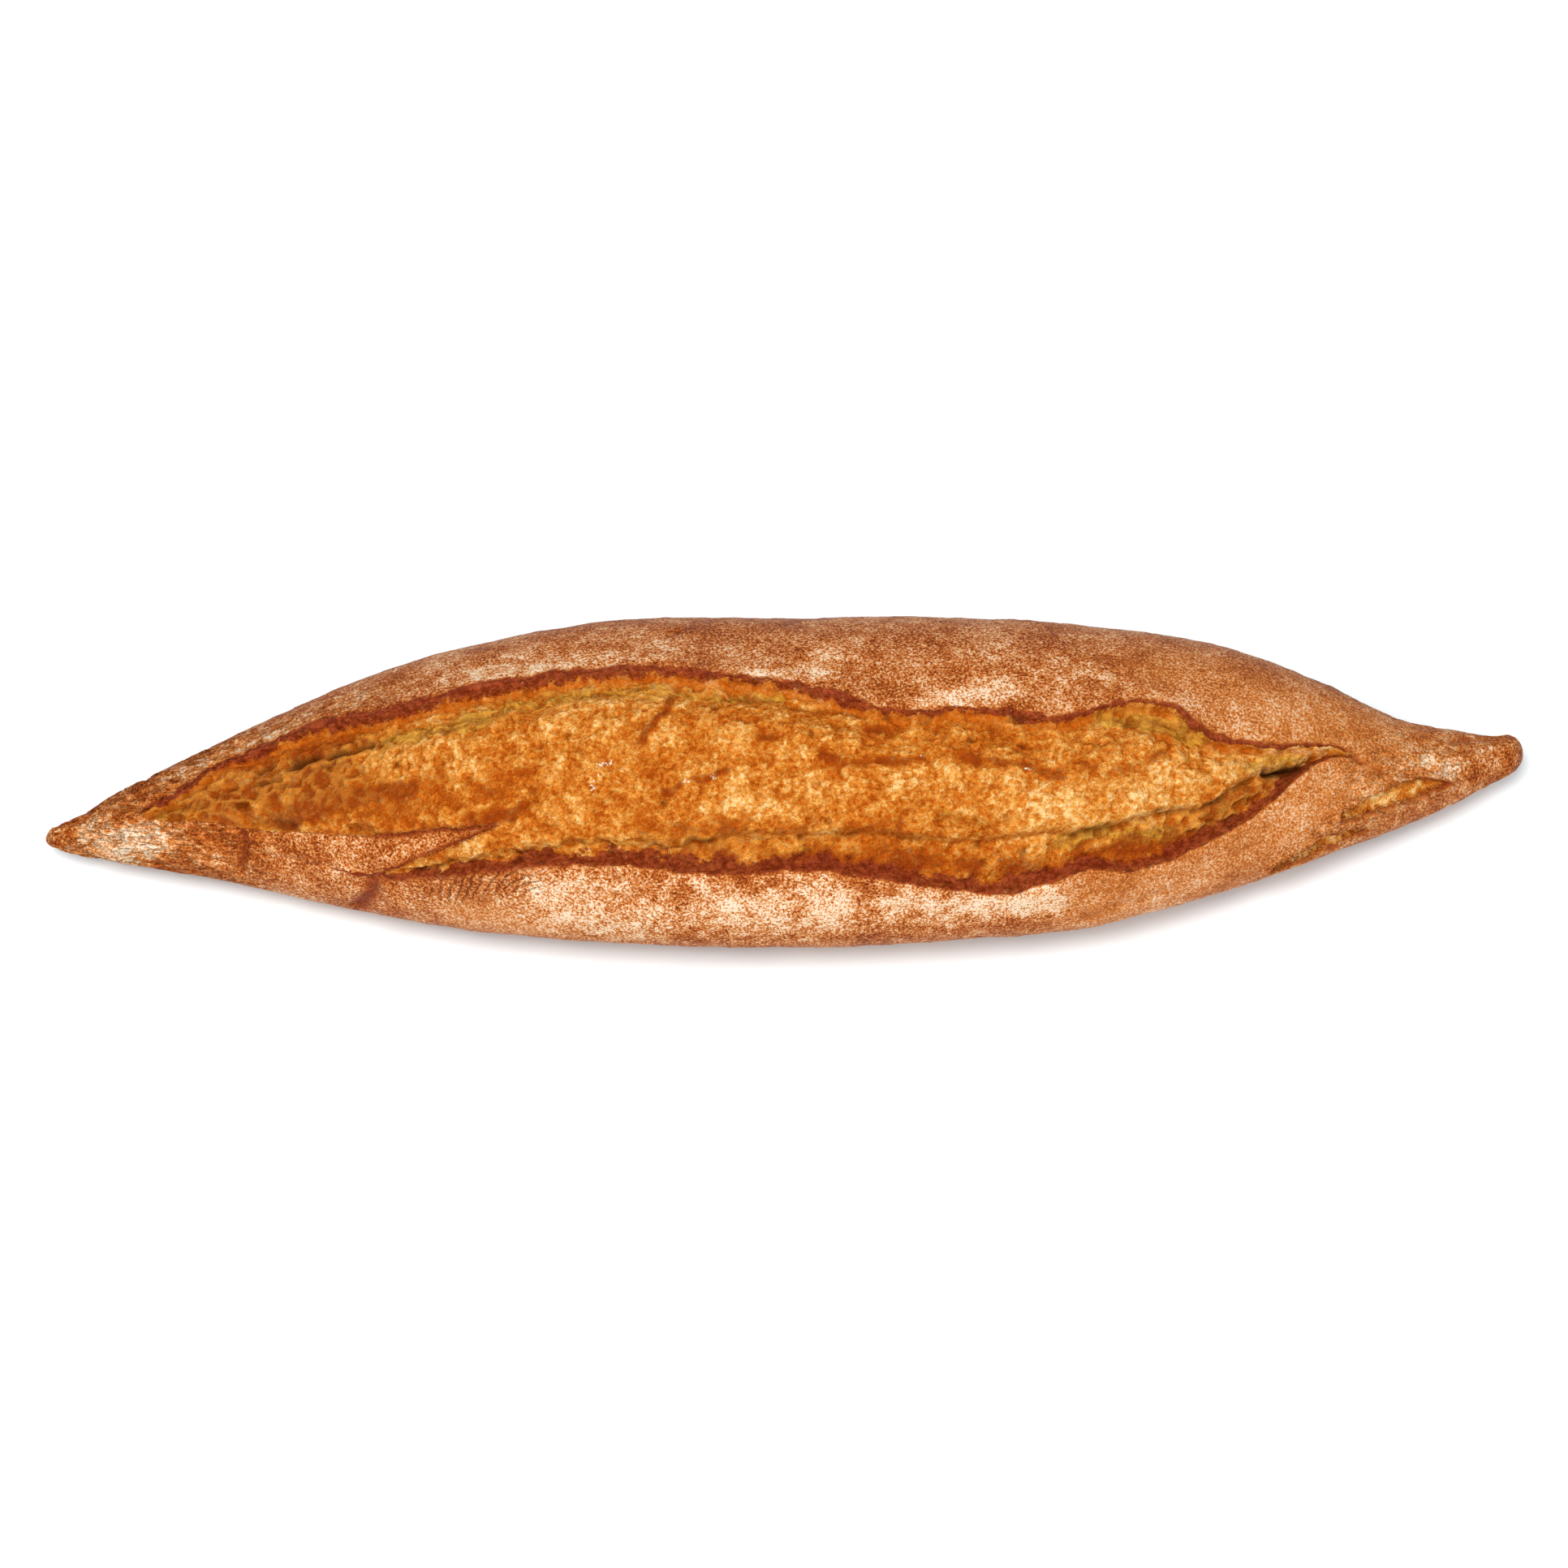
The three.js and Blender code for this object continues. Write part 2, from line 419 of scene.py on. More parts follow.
# %% Torn areas
SHOULDER_TEARS = [
    ([(144, 28), (150, 30), (156, 37), (162, 41), (169, 44.5), (177, 41)], 2.7),
    ([(127, 1), (134, 4), (140, 8), (147, 9), (154, 9)], 2.4),
]
LENS_POWER = 0.7


def lens_inside(path, half_width):
    """How deep inside a lens a vertex lies, in millimetres: the lens is widest at the middle of
    its path, and its half-width follows a power of the sine towards both ends."""
    along_lens = np.clip((X - path[0][0]) / (path[-1][0] - path[0][0]), 0, 1)
    return half_width * np.sin(np.pi * along_lens) ** LENS_POWER - distance_to(path)


inside_slash = np.minimum(np.minimum(from_front, -from_rear), np.maximum(from_tongue, -from_foot))
slash_length = window(-177, -166, 146, 152, X)
inside_tears = np.maximum.reduce([lens_inside(*tear) for tear in SHOULDER_TEARS])
ragged_edge = 0.35 * fractal(PLAIN, 2.6, 31, 2)
crumb = smooth(-0.45, 0.55, inside_slash + ragged_edge) * slash_length
tears = smooth(-0.3, 0.6, inside_tears + ragged_edge)
on_tongue = smooth(-0.5, 0.8, np.minimum(np.minimum(-from_tongue, from_foot), from_front))
on_tongue *= window(-112, -104, -84, -70, X)
print("share of the skin that is torn:", round(float(crumb.mean()), 3))

# %% [markdown]
# ## Relief of the slash
# The crust rolls up a little at both lips. Behind the front lip lies a low terrace, then the
# crevice, and above that the bulge of crumb, which the oven pushed out. Just under the rear lip
# the crumb was stretched thin and lies hollow. A vertex moves two ways: out along the normal,
# and over towards the back along the skin, which lets the lips hang over a little.

# %% Relief of the lips, terrace, bulge and hollow
# Place along the loaf, rise of the rear lip, depth of the hollow under it
REAR_PROFILE = [
    (-200, 0, 0), (-176, 0.1, 0.3), (-150, 0.8, 1.4), (-120, 1.4, 2.2), (-80, 1.4, 2.2),
    (-40, 1.2, 2.2), (0, 1.2, 2.2), (20, 1.2, 1.6), (50, 0.9, 1.3), (75, 1.2, 1.6),
    (90, 1.4, 2.6), (103, 1.2, 2.4), (115, 0.6, 1.6), (140, 0.5, 1.6), (151, 0.1, 0.3), (200, 0, 0),
]
# Place along the loaf, rise of the front lip, depth of the terrace, depth of the crevice
FRONT_PROFILE = [
    (-200, 0, 0, 0), (-113, 0, 0, 0), (-104, 0.5, 0.3, 1.0), (-80, 0.8, 0.8, 1.4),
    (-50, 1.0, 1.2, 1.2), (-20, 1.0, 1.5, 1.2), (20, 1.1, 1.9, 0.9), (60, 1.2, 2.2, 0.7),
    (90, 1.2, 2.4, 0.6), (110, 1.3, 2.4, 1.0), (120, 1.3, 2.2, 2.0), (135, 1.0, 2.0, 2.6),
    (150, 0.2, 0.4, 0.4), (200, 0, 0, 0),
]
BULGE = 1.7
TONGUE_RISE = 0.7
LIP_FLAKES = 0.5
# How far the rear lip, the front lip and the crumb over the crevice lean over
REAR_LEAN = 1.1
FRONT_LEAN = 0.9
CREVICE_LEAN = 0.9

rear_rise = along(REAR_PROFILE, X, 1)
rear_hollow = along(REAR_PROFILE, X, 2)
front_rise = along(FRONT_PROFILE, X, 1)
terrace = along(FRONT_PROFILE, X, 2)
crevice_depth = along(FRONT_PROFILE, X, 3)
below_rear = -from_rear
past_crevice = smooth(0.0, 3.2, from_crevice)

out = np.zeros(X.shape)
out += rear_rise * bell(np.minimum(from_rear, 0) + np.maximum(from_rear, 0) / 6.5, 1.0)
out -= rear_hollow * window(0.1, 1.9, 4.0, 15.0, below_rear) * crumb
out += front_rise * bell(np.where(from_front > 0, from_front, from_front / 5.0), 1.0)
out -= terrace * smooth(0.2, 2.2, from_front) * (1 - past_crevice) * crumb
broken = smooth(0.0, 0.35, fractal(PLAIN, 8.0, 41, 2))
out -= crevice_depth * bell(from_crevice + 0.2, 0.8) * (0.1 + 0.9 * broken) * crumb
in_bulge = past_crevice * smooth(1.0, 16.0, below_rear) * crumb
out += BULGE * in_bulge * smooth(-150, -60, X)
out += TONGUE_RISE * on_tongue

lip_flakes = fractal(PLAIN, 3.0, 43, 3, 0.7)
near_lips = bell(from_rear + 0.3, 1.8) + bell(from_front - 0.3, 1.6)
out += LIP_FLAKES * lip_flakes * near_lips * slash_length

over = np.zeros(X.shape)
over -= REAR_LEAN * (rear_hollow / 3.0) * bell(from_rear - 0.2, 1.4)
over += FRONT_LEAN * np.minimum(front_rise, 1.0) * bell(from_front + 0.1, 1.2)
over_crevice = bell(from_crevice - 1.4, 1.3) * broken * crumb
over -= CREVICE_LEAN * np.minimum(crevice_depth / 2, 1.0) * over_crevice
print("relief from", round(float(out.min()), 1), "to", round(float(out.max()), 1), "mm")

# %% [markdown]
# ## Creases, holes and blisters
# These are the marks that make this loaf itself: the holes where the crumb tore, the wedge of
# crust that sticks up in the crumb, the fold and the crease on the left shoulder, and the lumps
# along the terrace. Each row is a path, a width and a depth in millimetres.

# %% Marks in the crumb and in the crust
CRUMB_HOLES = [
    ([(-131, 84.5), (-126, 86)], 1.7, -3.4), ([(-120, 85.5), (-117, 86)], 1.4, -3.0),
    ([(-114, 86.5), (-110, 87.5)], 1.3, -2.8), ([(-107, 88), (-104, 89)], 0.9, -1.8),
    ([(-150, 74.5), (-145, 75.5)], 0.6, -1.2), ([(-141, 76.5), (-134, 78)], 0.7, -1.6),
    ([(-133, 72), (-132, 72)], 0.9, -1.6), ([(-140, 89), (-137, 90)], 1.2, -2.2),
    ([(-123, 79), (-119, 80)], 0.8, -1.5), ([(-146, 64), (-143, 62)], 0.9, -1.5),
    ([(-141, 50), (-138, 51)], 1.6, -1.2), ([(-134, 49.5), (-130, 49.5)], 2.4, -1.7),
    ([(-114, 48), (-107, 47)], 1.4, -1.4), ([(126, 61.5), (131, 62), (134, 64)], 1.6, -2.8),
    ([(-15, 98.5), (-6, 97)], 1.2, -1.4), ([(97, 48.5), (103, 47.5)], 0.9, -1.3),
    ([(108, 48.5), (113, 52)], 0.9, -1.6), ([(116, 54.5), (122, 58)], 0.8, -1.4),
    ([(110, 39.5), (111, 39.5)], 0.9, -1.6), ([(115, 39.5), (117, 40)], 1.0, -1.6),
    ([(34.5, 87), (35.5, 87)], 0.9, -1.8), ([(58, 87.5), (60, 87)], 1.1, -2.0),
    ([(0, 93.5), (9, 92), (18, 89.5)], 0.8, -1.3), ([(-169, 69), (-161, 67)], 1.2, -0.9),
    ([(85, 87), (97, 86), (103, 81)], 1.6, -0.9), ([(71, 41), (83, 45)], 2.6, -0.9),
    ([(39, 53), (51, 48.5)], 2.6, -0.8), ([(88, 41), (100, 38)], 2.4, -0.8),
    ([(-88, 91), (-80, 92)], 1.6, -1.0), ([(-26, 46), (-20, 45)], 1.2, -1.3),
    ([(-38, 45), (-34, 44)], 0.9, -1.2), ([(12, 48), (17, 47.5)], 0.9, -1.3),
    ([(29, 45.5), (34, 44)], 0.9, -1.3), ([(47, 70), (49, 70)], 1.0, -0.7),
]
CRUMB_LUMPS = [
    ([(-111, 53), (-108, 53)], 4.5, 1.7), ([(-126, 58), (-122, 58)], 4.0, 1.3),
    ([(62, 37), (64, 37)], 3.6, 1.6), ([(-30, 95), (-34, 85), (-38, 77.5)], 0.85, 1.5),
    ([(59, 53), (72, 57), (84, 57)], 7.0, 1.0), ([(112, 63), (121, 65)], 3.6, 1.2),
    ([(34, 68), (34, 58)], 0.7, -0.7), ([(-15, 56), (4, 60)], 8.0, 0.5),
    ([(-96, 78), (-80, 79)], 6.0, 0.7), ([(126, 70), (140, 73)], 2.0, 0.8),
    ([(-95, 56), (-84, 57)], 5.5, 0.9), ([(107, 46), (118, 51), (128, 56)], 1.5, 1.0),
]
CRUST_CREASES = [
    ([(-144, 44), (-144, 25), (-145, 11)], 1.1, -1.3),
    ([(-108, 23), (-110, 12), (-114, -6)], 2.2, -1.7),
    ([(-117, 27), (-113, 23), (-109, 25)], 0.9, 0.9), ([(-106, 18), (-103, 8), (-104, -4)], 2.4, 0.8),
    ([(-46, 36), (-44, 30)], 0.5, -0.9), ([(-51, 24.5), (-44, 23), (-38, 23.5)], 0.6, -0.6),
    ([(78, 112), (84, 102)], 0.7, 0.5), ([(71, 13), (79, 1)], 0.9, -0.7),
    ([(82, 8), (92, 7), (102, 11)], 0.8, -0.6), ([(145, 78), (151, 71)], 0.8, -1.3),
    ([(178, 107), (190, 120)], 2.2, -0.7), ([(-32, 127), (-30, 129)], 1.1, -1.0),
    ([(-166, 88), (-150, 105), (-135, 109)], 0.8, -0.6), ([(-152, 112), (-120, 117)], 0.8, -0.5),
    ([(-180, 92), (-160, 104)], 0.7, -0.6), ([(146, 74), (158, 62), (170, 60)], 1.0, -0.6),
]
TEAR_DEPTH = 1.6
TEAR_RIM = 0.9

torn = np.maximum(crumb, tears)
holes = strokes(CRUMB_HOLES) * torn
out += holes
out += strokes(CRUMB_LUMPS) * crumb
creases = strokes(CRUST_CREASES) * (1 - crumb)
out += creases
out -= TEAR_DEPTH * tears
out += TEAR_RIM * bell(inside_tears + 0.6, 1.0) * (1 - tears)
print("deepest hole:", round(float(holes.min()), 1), "mm")

# %% [markdown]
# ## Skin of the crust and body of the crumb
# The crust is nearly smooth: broad unevenness, small blisters, and wrinkles that run lengthwise
# where the ends were rolled to a point. The crumb is rough at every size: lumps with valleys
# between them, flakes a few millimetres long and pores. Where it was stretched it has a web of
# burst bubbles, and threads that were pulled across the slash. Lumps and webs come from cell
# noise: the nearest point gives the lump, and where two are equally near lies a valley or a wall.

# %% Roughness of crust and crumb
# Where long threads were pulled across the slash
THREADED = [
    ([(-150, 72), (-128, 74), (-108, 76), (-92, 80)], 7.0, 1.0), ([(-80, 84), (-60, 88)], 6.0, 0.5),
    ([(-104, 32), (-86, 40), (-66, 46)], 3.0, 0.6),
]
# Where bubbles tore open and left a web of thin walls
WEBBED = [
    ([(-168, 67), (-150, 68), (-128, 72), (-112, 74)], 8.0, 0.7),
    ([(-118, 88), (-98, 90), (-82, 92)], 3.5, 1.0),
    ([(-78, 96), (-50, 99), (-20, 98)], 3.0, 0.8), ([(82, 89), (98, 87), (106, 80)], 3.5, 1.0),
    ([(112, 66), (124, 66), (138, 70)], 3.0, 0.8), ([(66, 42), (84, 44), (104, 45)], 3.4, 0.9),
    ([(-60, 44), (-24, 45), (8, 46)], 2.6, 0.7), ([(104, 38), (118, 44)], 3.5, 0.7),
    ([(112, 44), (122, 50), (133, 58)], 3.0, 0.9),
    ([(145, 28), (158, 38), (168, 44)], 3.0, 1.0), ([(130, 3), (150, 9)], 3.0, 1.0),
]
# Heights and depths in millimetres
BLISTER_RISE = 0.16
WRINKLE_DEPTH = 0.9
FLAKE_RISE = 0.62
SOFT_RISE = 0.34
PORE_DEPTH = 0.4
DEEP_PORE = 0.9
THREAD_RISE = 0.8
WALL_RISE = 0.9
BOWL_DEPTH = 1.2
LUMP_RISE = 0.75

ARC = np.cumsum(np.diff(ANGLES, axis=1, prepend=ANGLES[:, :1]) * PER_DEGREE, 1)
FLAT = np.stack([X, ARC, 0 * X], -1)
tip = smooth(112, 168, np.abs(X))
left_end = 1 - smooth(-150, -100, X)

crust_skin = 0.35 * noise(PLAIN, 46.0, 51) + 0.30 * fractal(PLAIN, 19.0, 52, 2)
crust_skin += 0.13 * fractal(PLAIN, 5.0, 53, 2)
crust_skin += BLISTER_RISE * spots(cells(PLAIN, 4.2, 54), 0.15, 0.6, 0.55)
wrinkle = 1 - np.abs(fractal(FLAT * np.array([0.13, 1.0, 1.0]), 3.2, 55, 2))
crust_skin -= (0.25 + 0.75 * left_end) * WRINKLE_DEPTH * tip * smooth(0.72, 1.0, wrinkle)

flake = 1 - 2 * np.abs(fractal(PLAIN, 2.7, 61, 2, 0.6))
fine_relief = FLAKE_RISE * (flake - 0.4) + SOFT_RISE * fractal(PLAIN, 5.5, 63, 2)
deep_pore = cells(PLAIN, 8.5, 66)
fine_relief -= PORE_DEPTH * spots(cells(PLAIN, 3.0, 64), 0.10, 0.40, 0.5)
fine_relief -= DEEP_PORE * spots(deep_pore, 0.06, 0.20, 0.6)
threads = 1 - np.abs(fractal(FLAT * np.array([1.0, 0.22, 1.0]), 2.4, 65, 2))
fine_relief += THREAD_RISE * smooth(0.55, 1.0, threads) * marks(THREADED)


def pushed_about(reach, period, seed, octaves):
    """The plain skin's points, each moved up to a reach along every axis by noise of its own."""
    moves = [fractal(PLAIN, period, seed + axis, octaves) for axis in range(3)]
    return PLAIN + reach * np.stack(moves, -1)


warped = pushed_about(1.9, 6.0, 81, 3)
bubble = cells(warped, 4.4, 67)
to_wall = bubble[1] - bubble[0]
web = marks(WEBBED) * crumb
wall = web * (1 - smooth(0.05, 0.24, to_wall))
bowl = web * smooth(0.15, 0.60, to_wall) * (0.4 + 0.6 * bubble[2])
fine_relief = fine_relief * (1 - 0.4 * web) + WALL_RISE * wall - BOWL_DEPTH * bowl
swollen = pushed_about(2.2, 9.0, 91, 2)
lump = cells(swollen, 9.5, 68)
to_valley = lump[1] - lump[0]
fine_relief += LUMP_RISE * (smooth(0.0, 0.55, to_valley) - 0.6) * (1 - 0.6 * web)
# Valleys between the lumps, which the colour darkens as painted shade
valley_shade = (1 - smooth(0.03, 0.24, to_valley)) * smooth(-0.5, 0.5, fractal(PLAIN, 12.0, 69, 2))
crumb_skin = 0.55 * fractal(PLAIN, 15.0, 62, 2) + fine_relief
# How high the fine relief stands: the colour paints crests lighter and hollows darker, as painted light
# and shade
crest_light_and_shade = smooth(-0.7, 0.7, fine_relief)

# The relief dies away at the table and at both ends, and the left nose is a little swollen
to_end = DRAWN_LENGTH / 2 - np.abs(X)
off_table = smooth(0.3, 5.0, PLAIN[..., 2])
out += (1 - torn) * crust_skin * (0.25 + 0.75 * off_table) + torn * crumb_skin
out *= smooth(0.0, 2.5, PLAIN[..., 2]) * smooth(-1.0, 6.0, to_end)
out += 0.6 * bell(DRAWN_LENGTH / 2 + X, 8.0) * off_table
print("finished relief:", round(float(out.min()), 1), "to", round(float(out.max()), 1), "mm")

# %% [markdown]
# ## From relief to points
# The plain skin's own normals say which way is out. They come from the cross product of the two
# grid directions, and so does the direction over the section. The sole never goes below the
# table, and the finished points are centred in the frame's box.


# %% Place the points
def unit(vectors):
    """Vectors divided by their own length."""
    return vectors / np.maximum(np.linalg.norm(vectors, axis=-1, keepdims=True), 1e-9)


def round_section(points):
    """Difference between each column's next and last neighbour, going round without a seam."""
    return np.roll(points, -1, axis=1) - np.roll(points, 1, axis=1)


lengthwise = np.gradient(PLAIN, axis=0)
crosswise = round_section(PLAIN)
normals = unit(np.cross(lengthwise, crosswise))
POINTS = PLAIN + normals * out[..., None] + unit(crosswise) * over[..., None]
POINTS[..., 2] = np.maximum(POINTS[..., 2], 0.0)
POINTS[0] = POINTS[0].mean(0)
POINTS[-1] = POINTS[-1].mean(0)
print("highest point:", round(float(POINTS[..., 2].max()), 1), "mm")

# %% [markdown]
# ## What each vertex knows about its bake and its painted light and shade
# The material can't see the slash, so the mesh tells it. Each vertex carries a few numbers: how
# much it is crumb, how darkly baked or toasted, with painted shade in creases, in valleys and just
# under the rear lip, how floury, with glints painted on the crumb, how pale from stretching, how
# bright, partly as painted highlight, how wrinkled, whether it lies in a pit, which is painted
# shade, and how high it stands, painted lighter on crests and darker in hollows. They are worked
# out from the same lines and strokes as the shape.

# %% Bake and painted shade, flour and glints, pale, highlight and warm crust
TOASTED = [
    ([(-132, 52), (-123, 59), (-114, 63), (-98, 64)], 2.4, 0.75),
    ([(-81, 52), (-72, 54), (-65, 58)], 1.6, 0.9),
    ([(-32, 62), (-27, 64), (-16, 68)], 1.3, 0.9), ([(-82, 66), (-77, 63)], 2.2, 0.6),
    ([(8, 73), (21, 71), (34, 72)], 1.7, 0.8), ([(45, 72), (58, 69), (68, 65)], 1.8, 0.8),
    ([(-8, 80), (-3, 81)], 2.0, 0.5), ([(74, 68), (88, 67), (96, 71)], 2.2, 0.6),
    ([(22, 85), (36, 84), (52, 84), (68, 82)], 2.2, 0.4), ([(104, 46), (116, 50), (126, 54)], 2.4, 0.8),
    ([(-30, 95), (-34, 85), (-38, 77)], 1.1, 1.2), ([(-100, 58), (-86, 57), (-76, 58)], 5.0, 0.35),
    ([(-150, 93), (-128, 95), (-112, 94)], 4.0, 0.45), ([(-36, 49), (30, 50)], 4.0, 0.45),
    ([(-74, 70), (-66, 69)], 2.0, 0.4), ([(14, 84), (26, 83)], 3.0, 0.4),
    ([(-165, 66), (-140, 66), (-122, 74)], 11.0, 0.85),
    ([(-24, 40), (20, 37), (64, 32), (100, 34)], 4.6, 0.7),
    ([(104, 36), (122, 46), (134, 58)], 4.0, 0.6), ([(-108, 60), (-92, 66)], 6.0, 0.3),
]
PALE = [
    ([(-104, 88), (-94, 88), (-82, 89)], 3.4, 1.0), ([(-85, 92), (-73, 93.5)], 3.2, 1.0),
    ([(-67, 97), (-56, 98), (-34, 99)], 3.4, 0.9), ([(-31, 96.5), (-3, 97.5)], 3.2, 0.6),
    ([(-170, 68), (-158, 66)], 2.6, 0.7), ([(38, 53.5), (52, 48.5)], 3.4, 0.3),
    ([(80, 87.5), (91, 87), (99, 85), (106, 78)], 3.4, 0.9), ([(70, 40), (82, 44)], 3.2, 0.8),
    ([(88, 40), (99, 37)], 3.0, 0.7), ([(118, 64), (134, 69)], 2.6, 0.6),
    ([(-12, 41), (4, 42)], 2.4, 0.5), ([(-24, 46), (-10, 49)], 2.4, 0.4),
    ([(150, 28), (158, 38), (166, 43)], 1.5, 0.3),
]
# Where the crumb is painted lighter on its bright swells: partly paler crumb, partly painted highlight
CRUMB_HIGHLIGHT = [
    ([(58, 54), (72, 58), (84, 58), (100, 60)], 7.5, 1.5), ([(112, 63), (120, 65), (134, 70)], 4.0, 1.2),
    ([(-20, 56), (4, 60)], 7.0, 0.6), ([(28, 66), (42, 64)], 5.0, 0.6),
    ([(-12, 66), (4, 68)], 6.0, 0.4), ([(-100, 76), (-84, 78)], 5.0, 0.4),
    ([(-96, 36), (-84, 41), (-72, 45), (-60, 50)], 2.6, 0.2), ([(-60, 88), (-30, 90)], 7.0, 0.5),
    ([(130, 69), (142, 74)], 2.2, 0.9), ([(62, 37), (64, 37)], 3.0, 0.7),
    ([(148, 29), (158, 39), (168, 44)], 3.0, 0.8), ([(132, 3), (147, 9)], 3.0, 0.7),
]
# Where the crust baked to a bright orange
WARM_CRUST = [
    ([(-84, 6), (-66, 1)], 8.0, 0.9), ([(82, 10), (108, 18), (132, 40)], 13.0, 1.2),
    ([(108, 66), (140, 84)], 11.0, 0.5), ([(96, 108), (140, 100), (160, 96)], 13.0, 0.7),
    ([(150, 50), (160, 20)], 8.0, 0.5),
]
FLOUR = [
    ([(-56, 14), (-20, 17), (6, 19)], 11.0, 0.78), ([(16, 14), (50, 11), (64, 15)], 8.0, 0.55),
    ([(-66, 26), (-46, 29)], 5.0, 0.5), ([(-9, 105), (2, 107), (16, 112)], 7.0, 0.36),
    ([(-10, 104), (2, 105), (14, 99)], 3.6, 0.32), ([(36, 94), (58, 95), (82, 103)], 8.0, 0.5),
    ([(42, 92), (54, 98)], 4.0, 0.4), ([(66, 23), (70, 14)], 4.0, 0.7),
    ([(-197, 60), (-184, 46), (-170, 40)], 8.0, 0.72), ([(-141, 34), (-132, 38)], 5.0, 0.2),
    ([(-150, 118), (-60, 126)], 13.0, 0.25), ([(-78, 112), (-50, 114)], 7.0, 0.25),
    ([(78, 112), (84, 102)], 0.8, 0.9), ([(-116, 27), (-112, 22), (-107, 25)], 1.4, 0.6),
    ([(-165, 100), (-130, 108), (-70, 112), (-30, 112)], 5.0, 0.3),
    ([(-176, 32), (-160, 26), (-148, 20)], 7.0, 0.22), ([(162, 60), (190, 80)], 10.0, 0.42),
    ([(-40, 132), (60, 134)], 14.0, 0.12), ([(30, 22), (60, 17)], 4.0, 0.4),
]
# White glints painted on the crumb as small specks: painted highlight
PAINTED_GLINTS = [
    ([(-49, 71), (-46, 71.5)], 0.8, 1.0), ([(-49.5, 68), (-49, 67)], 0.7, 0.9),
    ([(-50.5, 64.5), (-51, 62)], 0.75, 1.0), ([(-27, 65), (-26, 65)], 0.8, 1.0),
    ([(33, 73), (34, 73.4)], 0.6, 0.9), ([(60, 67.5), (61, 67)], 0.6, 0.9),
    ([(-20, 66), (-19, 66.3)], 0.6, 0.9),
]
# Where fine wrinkles run lengthwise in the crust, as grooves with painted shade in them
WRINKLED = [
    ([(-175, 110), (-140, 118), (-112, 116)], 9.0, 0.8), ([(-170, 45), (-150, 30)], 8.0, 0.5),
    ([(150, 60), (175, 70)], 6.0, 0.4), ([(140, 22), (165, 30)], 5.0, 0.4),
]
# Where rings of drying lines run in the floury front crust, as grooves with painted shade in them
SWIRLED = [([(-88, 19), (-82, 24), (-76, 26), (-68, 28)], 4.0, 1.2)]
# Place along the loaf, width in millimetres of the dark band behind the front lip
FRONT_BAND = [
    (-200, 0), (-108, 0.8), (-90, 2.0), (-70, 3.4), (-45, 4.6), (-14, 4.4), (4, 3.8),
    (24, 3.4), (56, 3.4), (78, 2.4), (100, 2.8), (125, 2.8), (145, 1.0), (200, 0),
]
# Place along the loaf, width of the dark band on the crumb side, partly baked and partly painted
# shade under the overhanging lip, and width of the scorched band on the crust side
REAR_BAND = [
    (-200, 0, 0), (-170, 0.8, 1.0), (-140, 1.2, 1.4), (-110, 1.2, 1.5), (-80, 1.3, 1.6),
    (-40, 1.1, 1.4), (-10, 1.1, 1.1), (5, 1.3, 1.2), (22, 1.0, 0.7), (60, 1.0, 0.6),
    (85, 0.7, 0.7), (104, 0.6, 1.2), (130, 0.4, 0.8), (200, 0, 0),
]


def band(distance, width):
    """1 from a lip to its width beyond it, with a soft far side; nothing on the other side."""
    reach = np.maximum(width, 0.3)
    return window(-0.5, 0.2, 0.55 * reach, 1.35 * reach, distance) * smooth(0.1, 0.5, width)


wander = 1 + 0.6 * fractal(PLAIN, 8.0, 71, 3, 0.6) + 0.4 * fractal(PLAIN, 2.0, 72, 2)
front_band = band(from_front, along(FRONT_BAND, X) * wander) * slash_length
# Just under the rear lip the crumb is darkened: partly bake, partly painted shade under the lip
rear_band_and_lip_shade = band(below_rear, along(REAR_BAND, X, 1) * wander) * slash_length
rear_scorch = band(from_rear, along(REAR_BAND, X, 2) * wander) * slash_length
# The lips are baked darkest, then the edges of the tongue and the tears, then the creases, whose
# darkening is painted shade. Just under the rear lip the dark band is partly painted shade too.
bake_and_painted_shade = np.maximum.reduce([
    front_band, rear_band_and_lip_shade, 0.8 * rear_scorch,
    0.6 * bell(inside_slash, 1.0) * smooth(-112, -104, X) * (X < -56),
    0.55 * bell(inside_tears - 0.1, 0.7),
    np.clip(-0.40 * creases * wander, 0, 0.55),
])
# Toasted strokes, plus painted shade in the valleys between the lumps
toast_and_valley_shade = np.clip(strokes(TOASTED) * wander + 0.32 * valley_shade, 0, 1) * crumb
toast_and_valley_shade = np.maximum(toast_and_valley_shade, smooth(189, 199, -X))
pale = marks(PALE, 1.1 * wander - 0.1) * torn
highlight_and_warm_crust = marks(CRUMB_HIGHLIGHT, wander) * torn + marks(WARM_CRUST) * (1 - torn)
flour_and_glints = marks(FLOUR, 0.9 + 0.5 * fractal(PLAIN, 14.0, 73, 3)) * (1 - torn)
# The painted glints ride on the crumb's share of the flour fact
flour_and_glints += marks(PAINTED_GLINTS) * torn
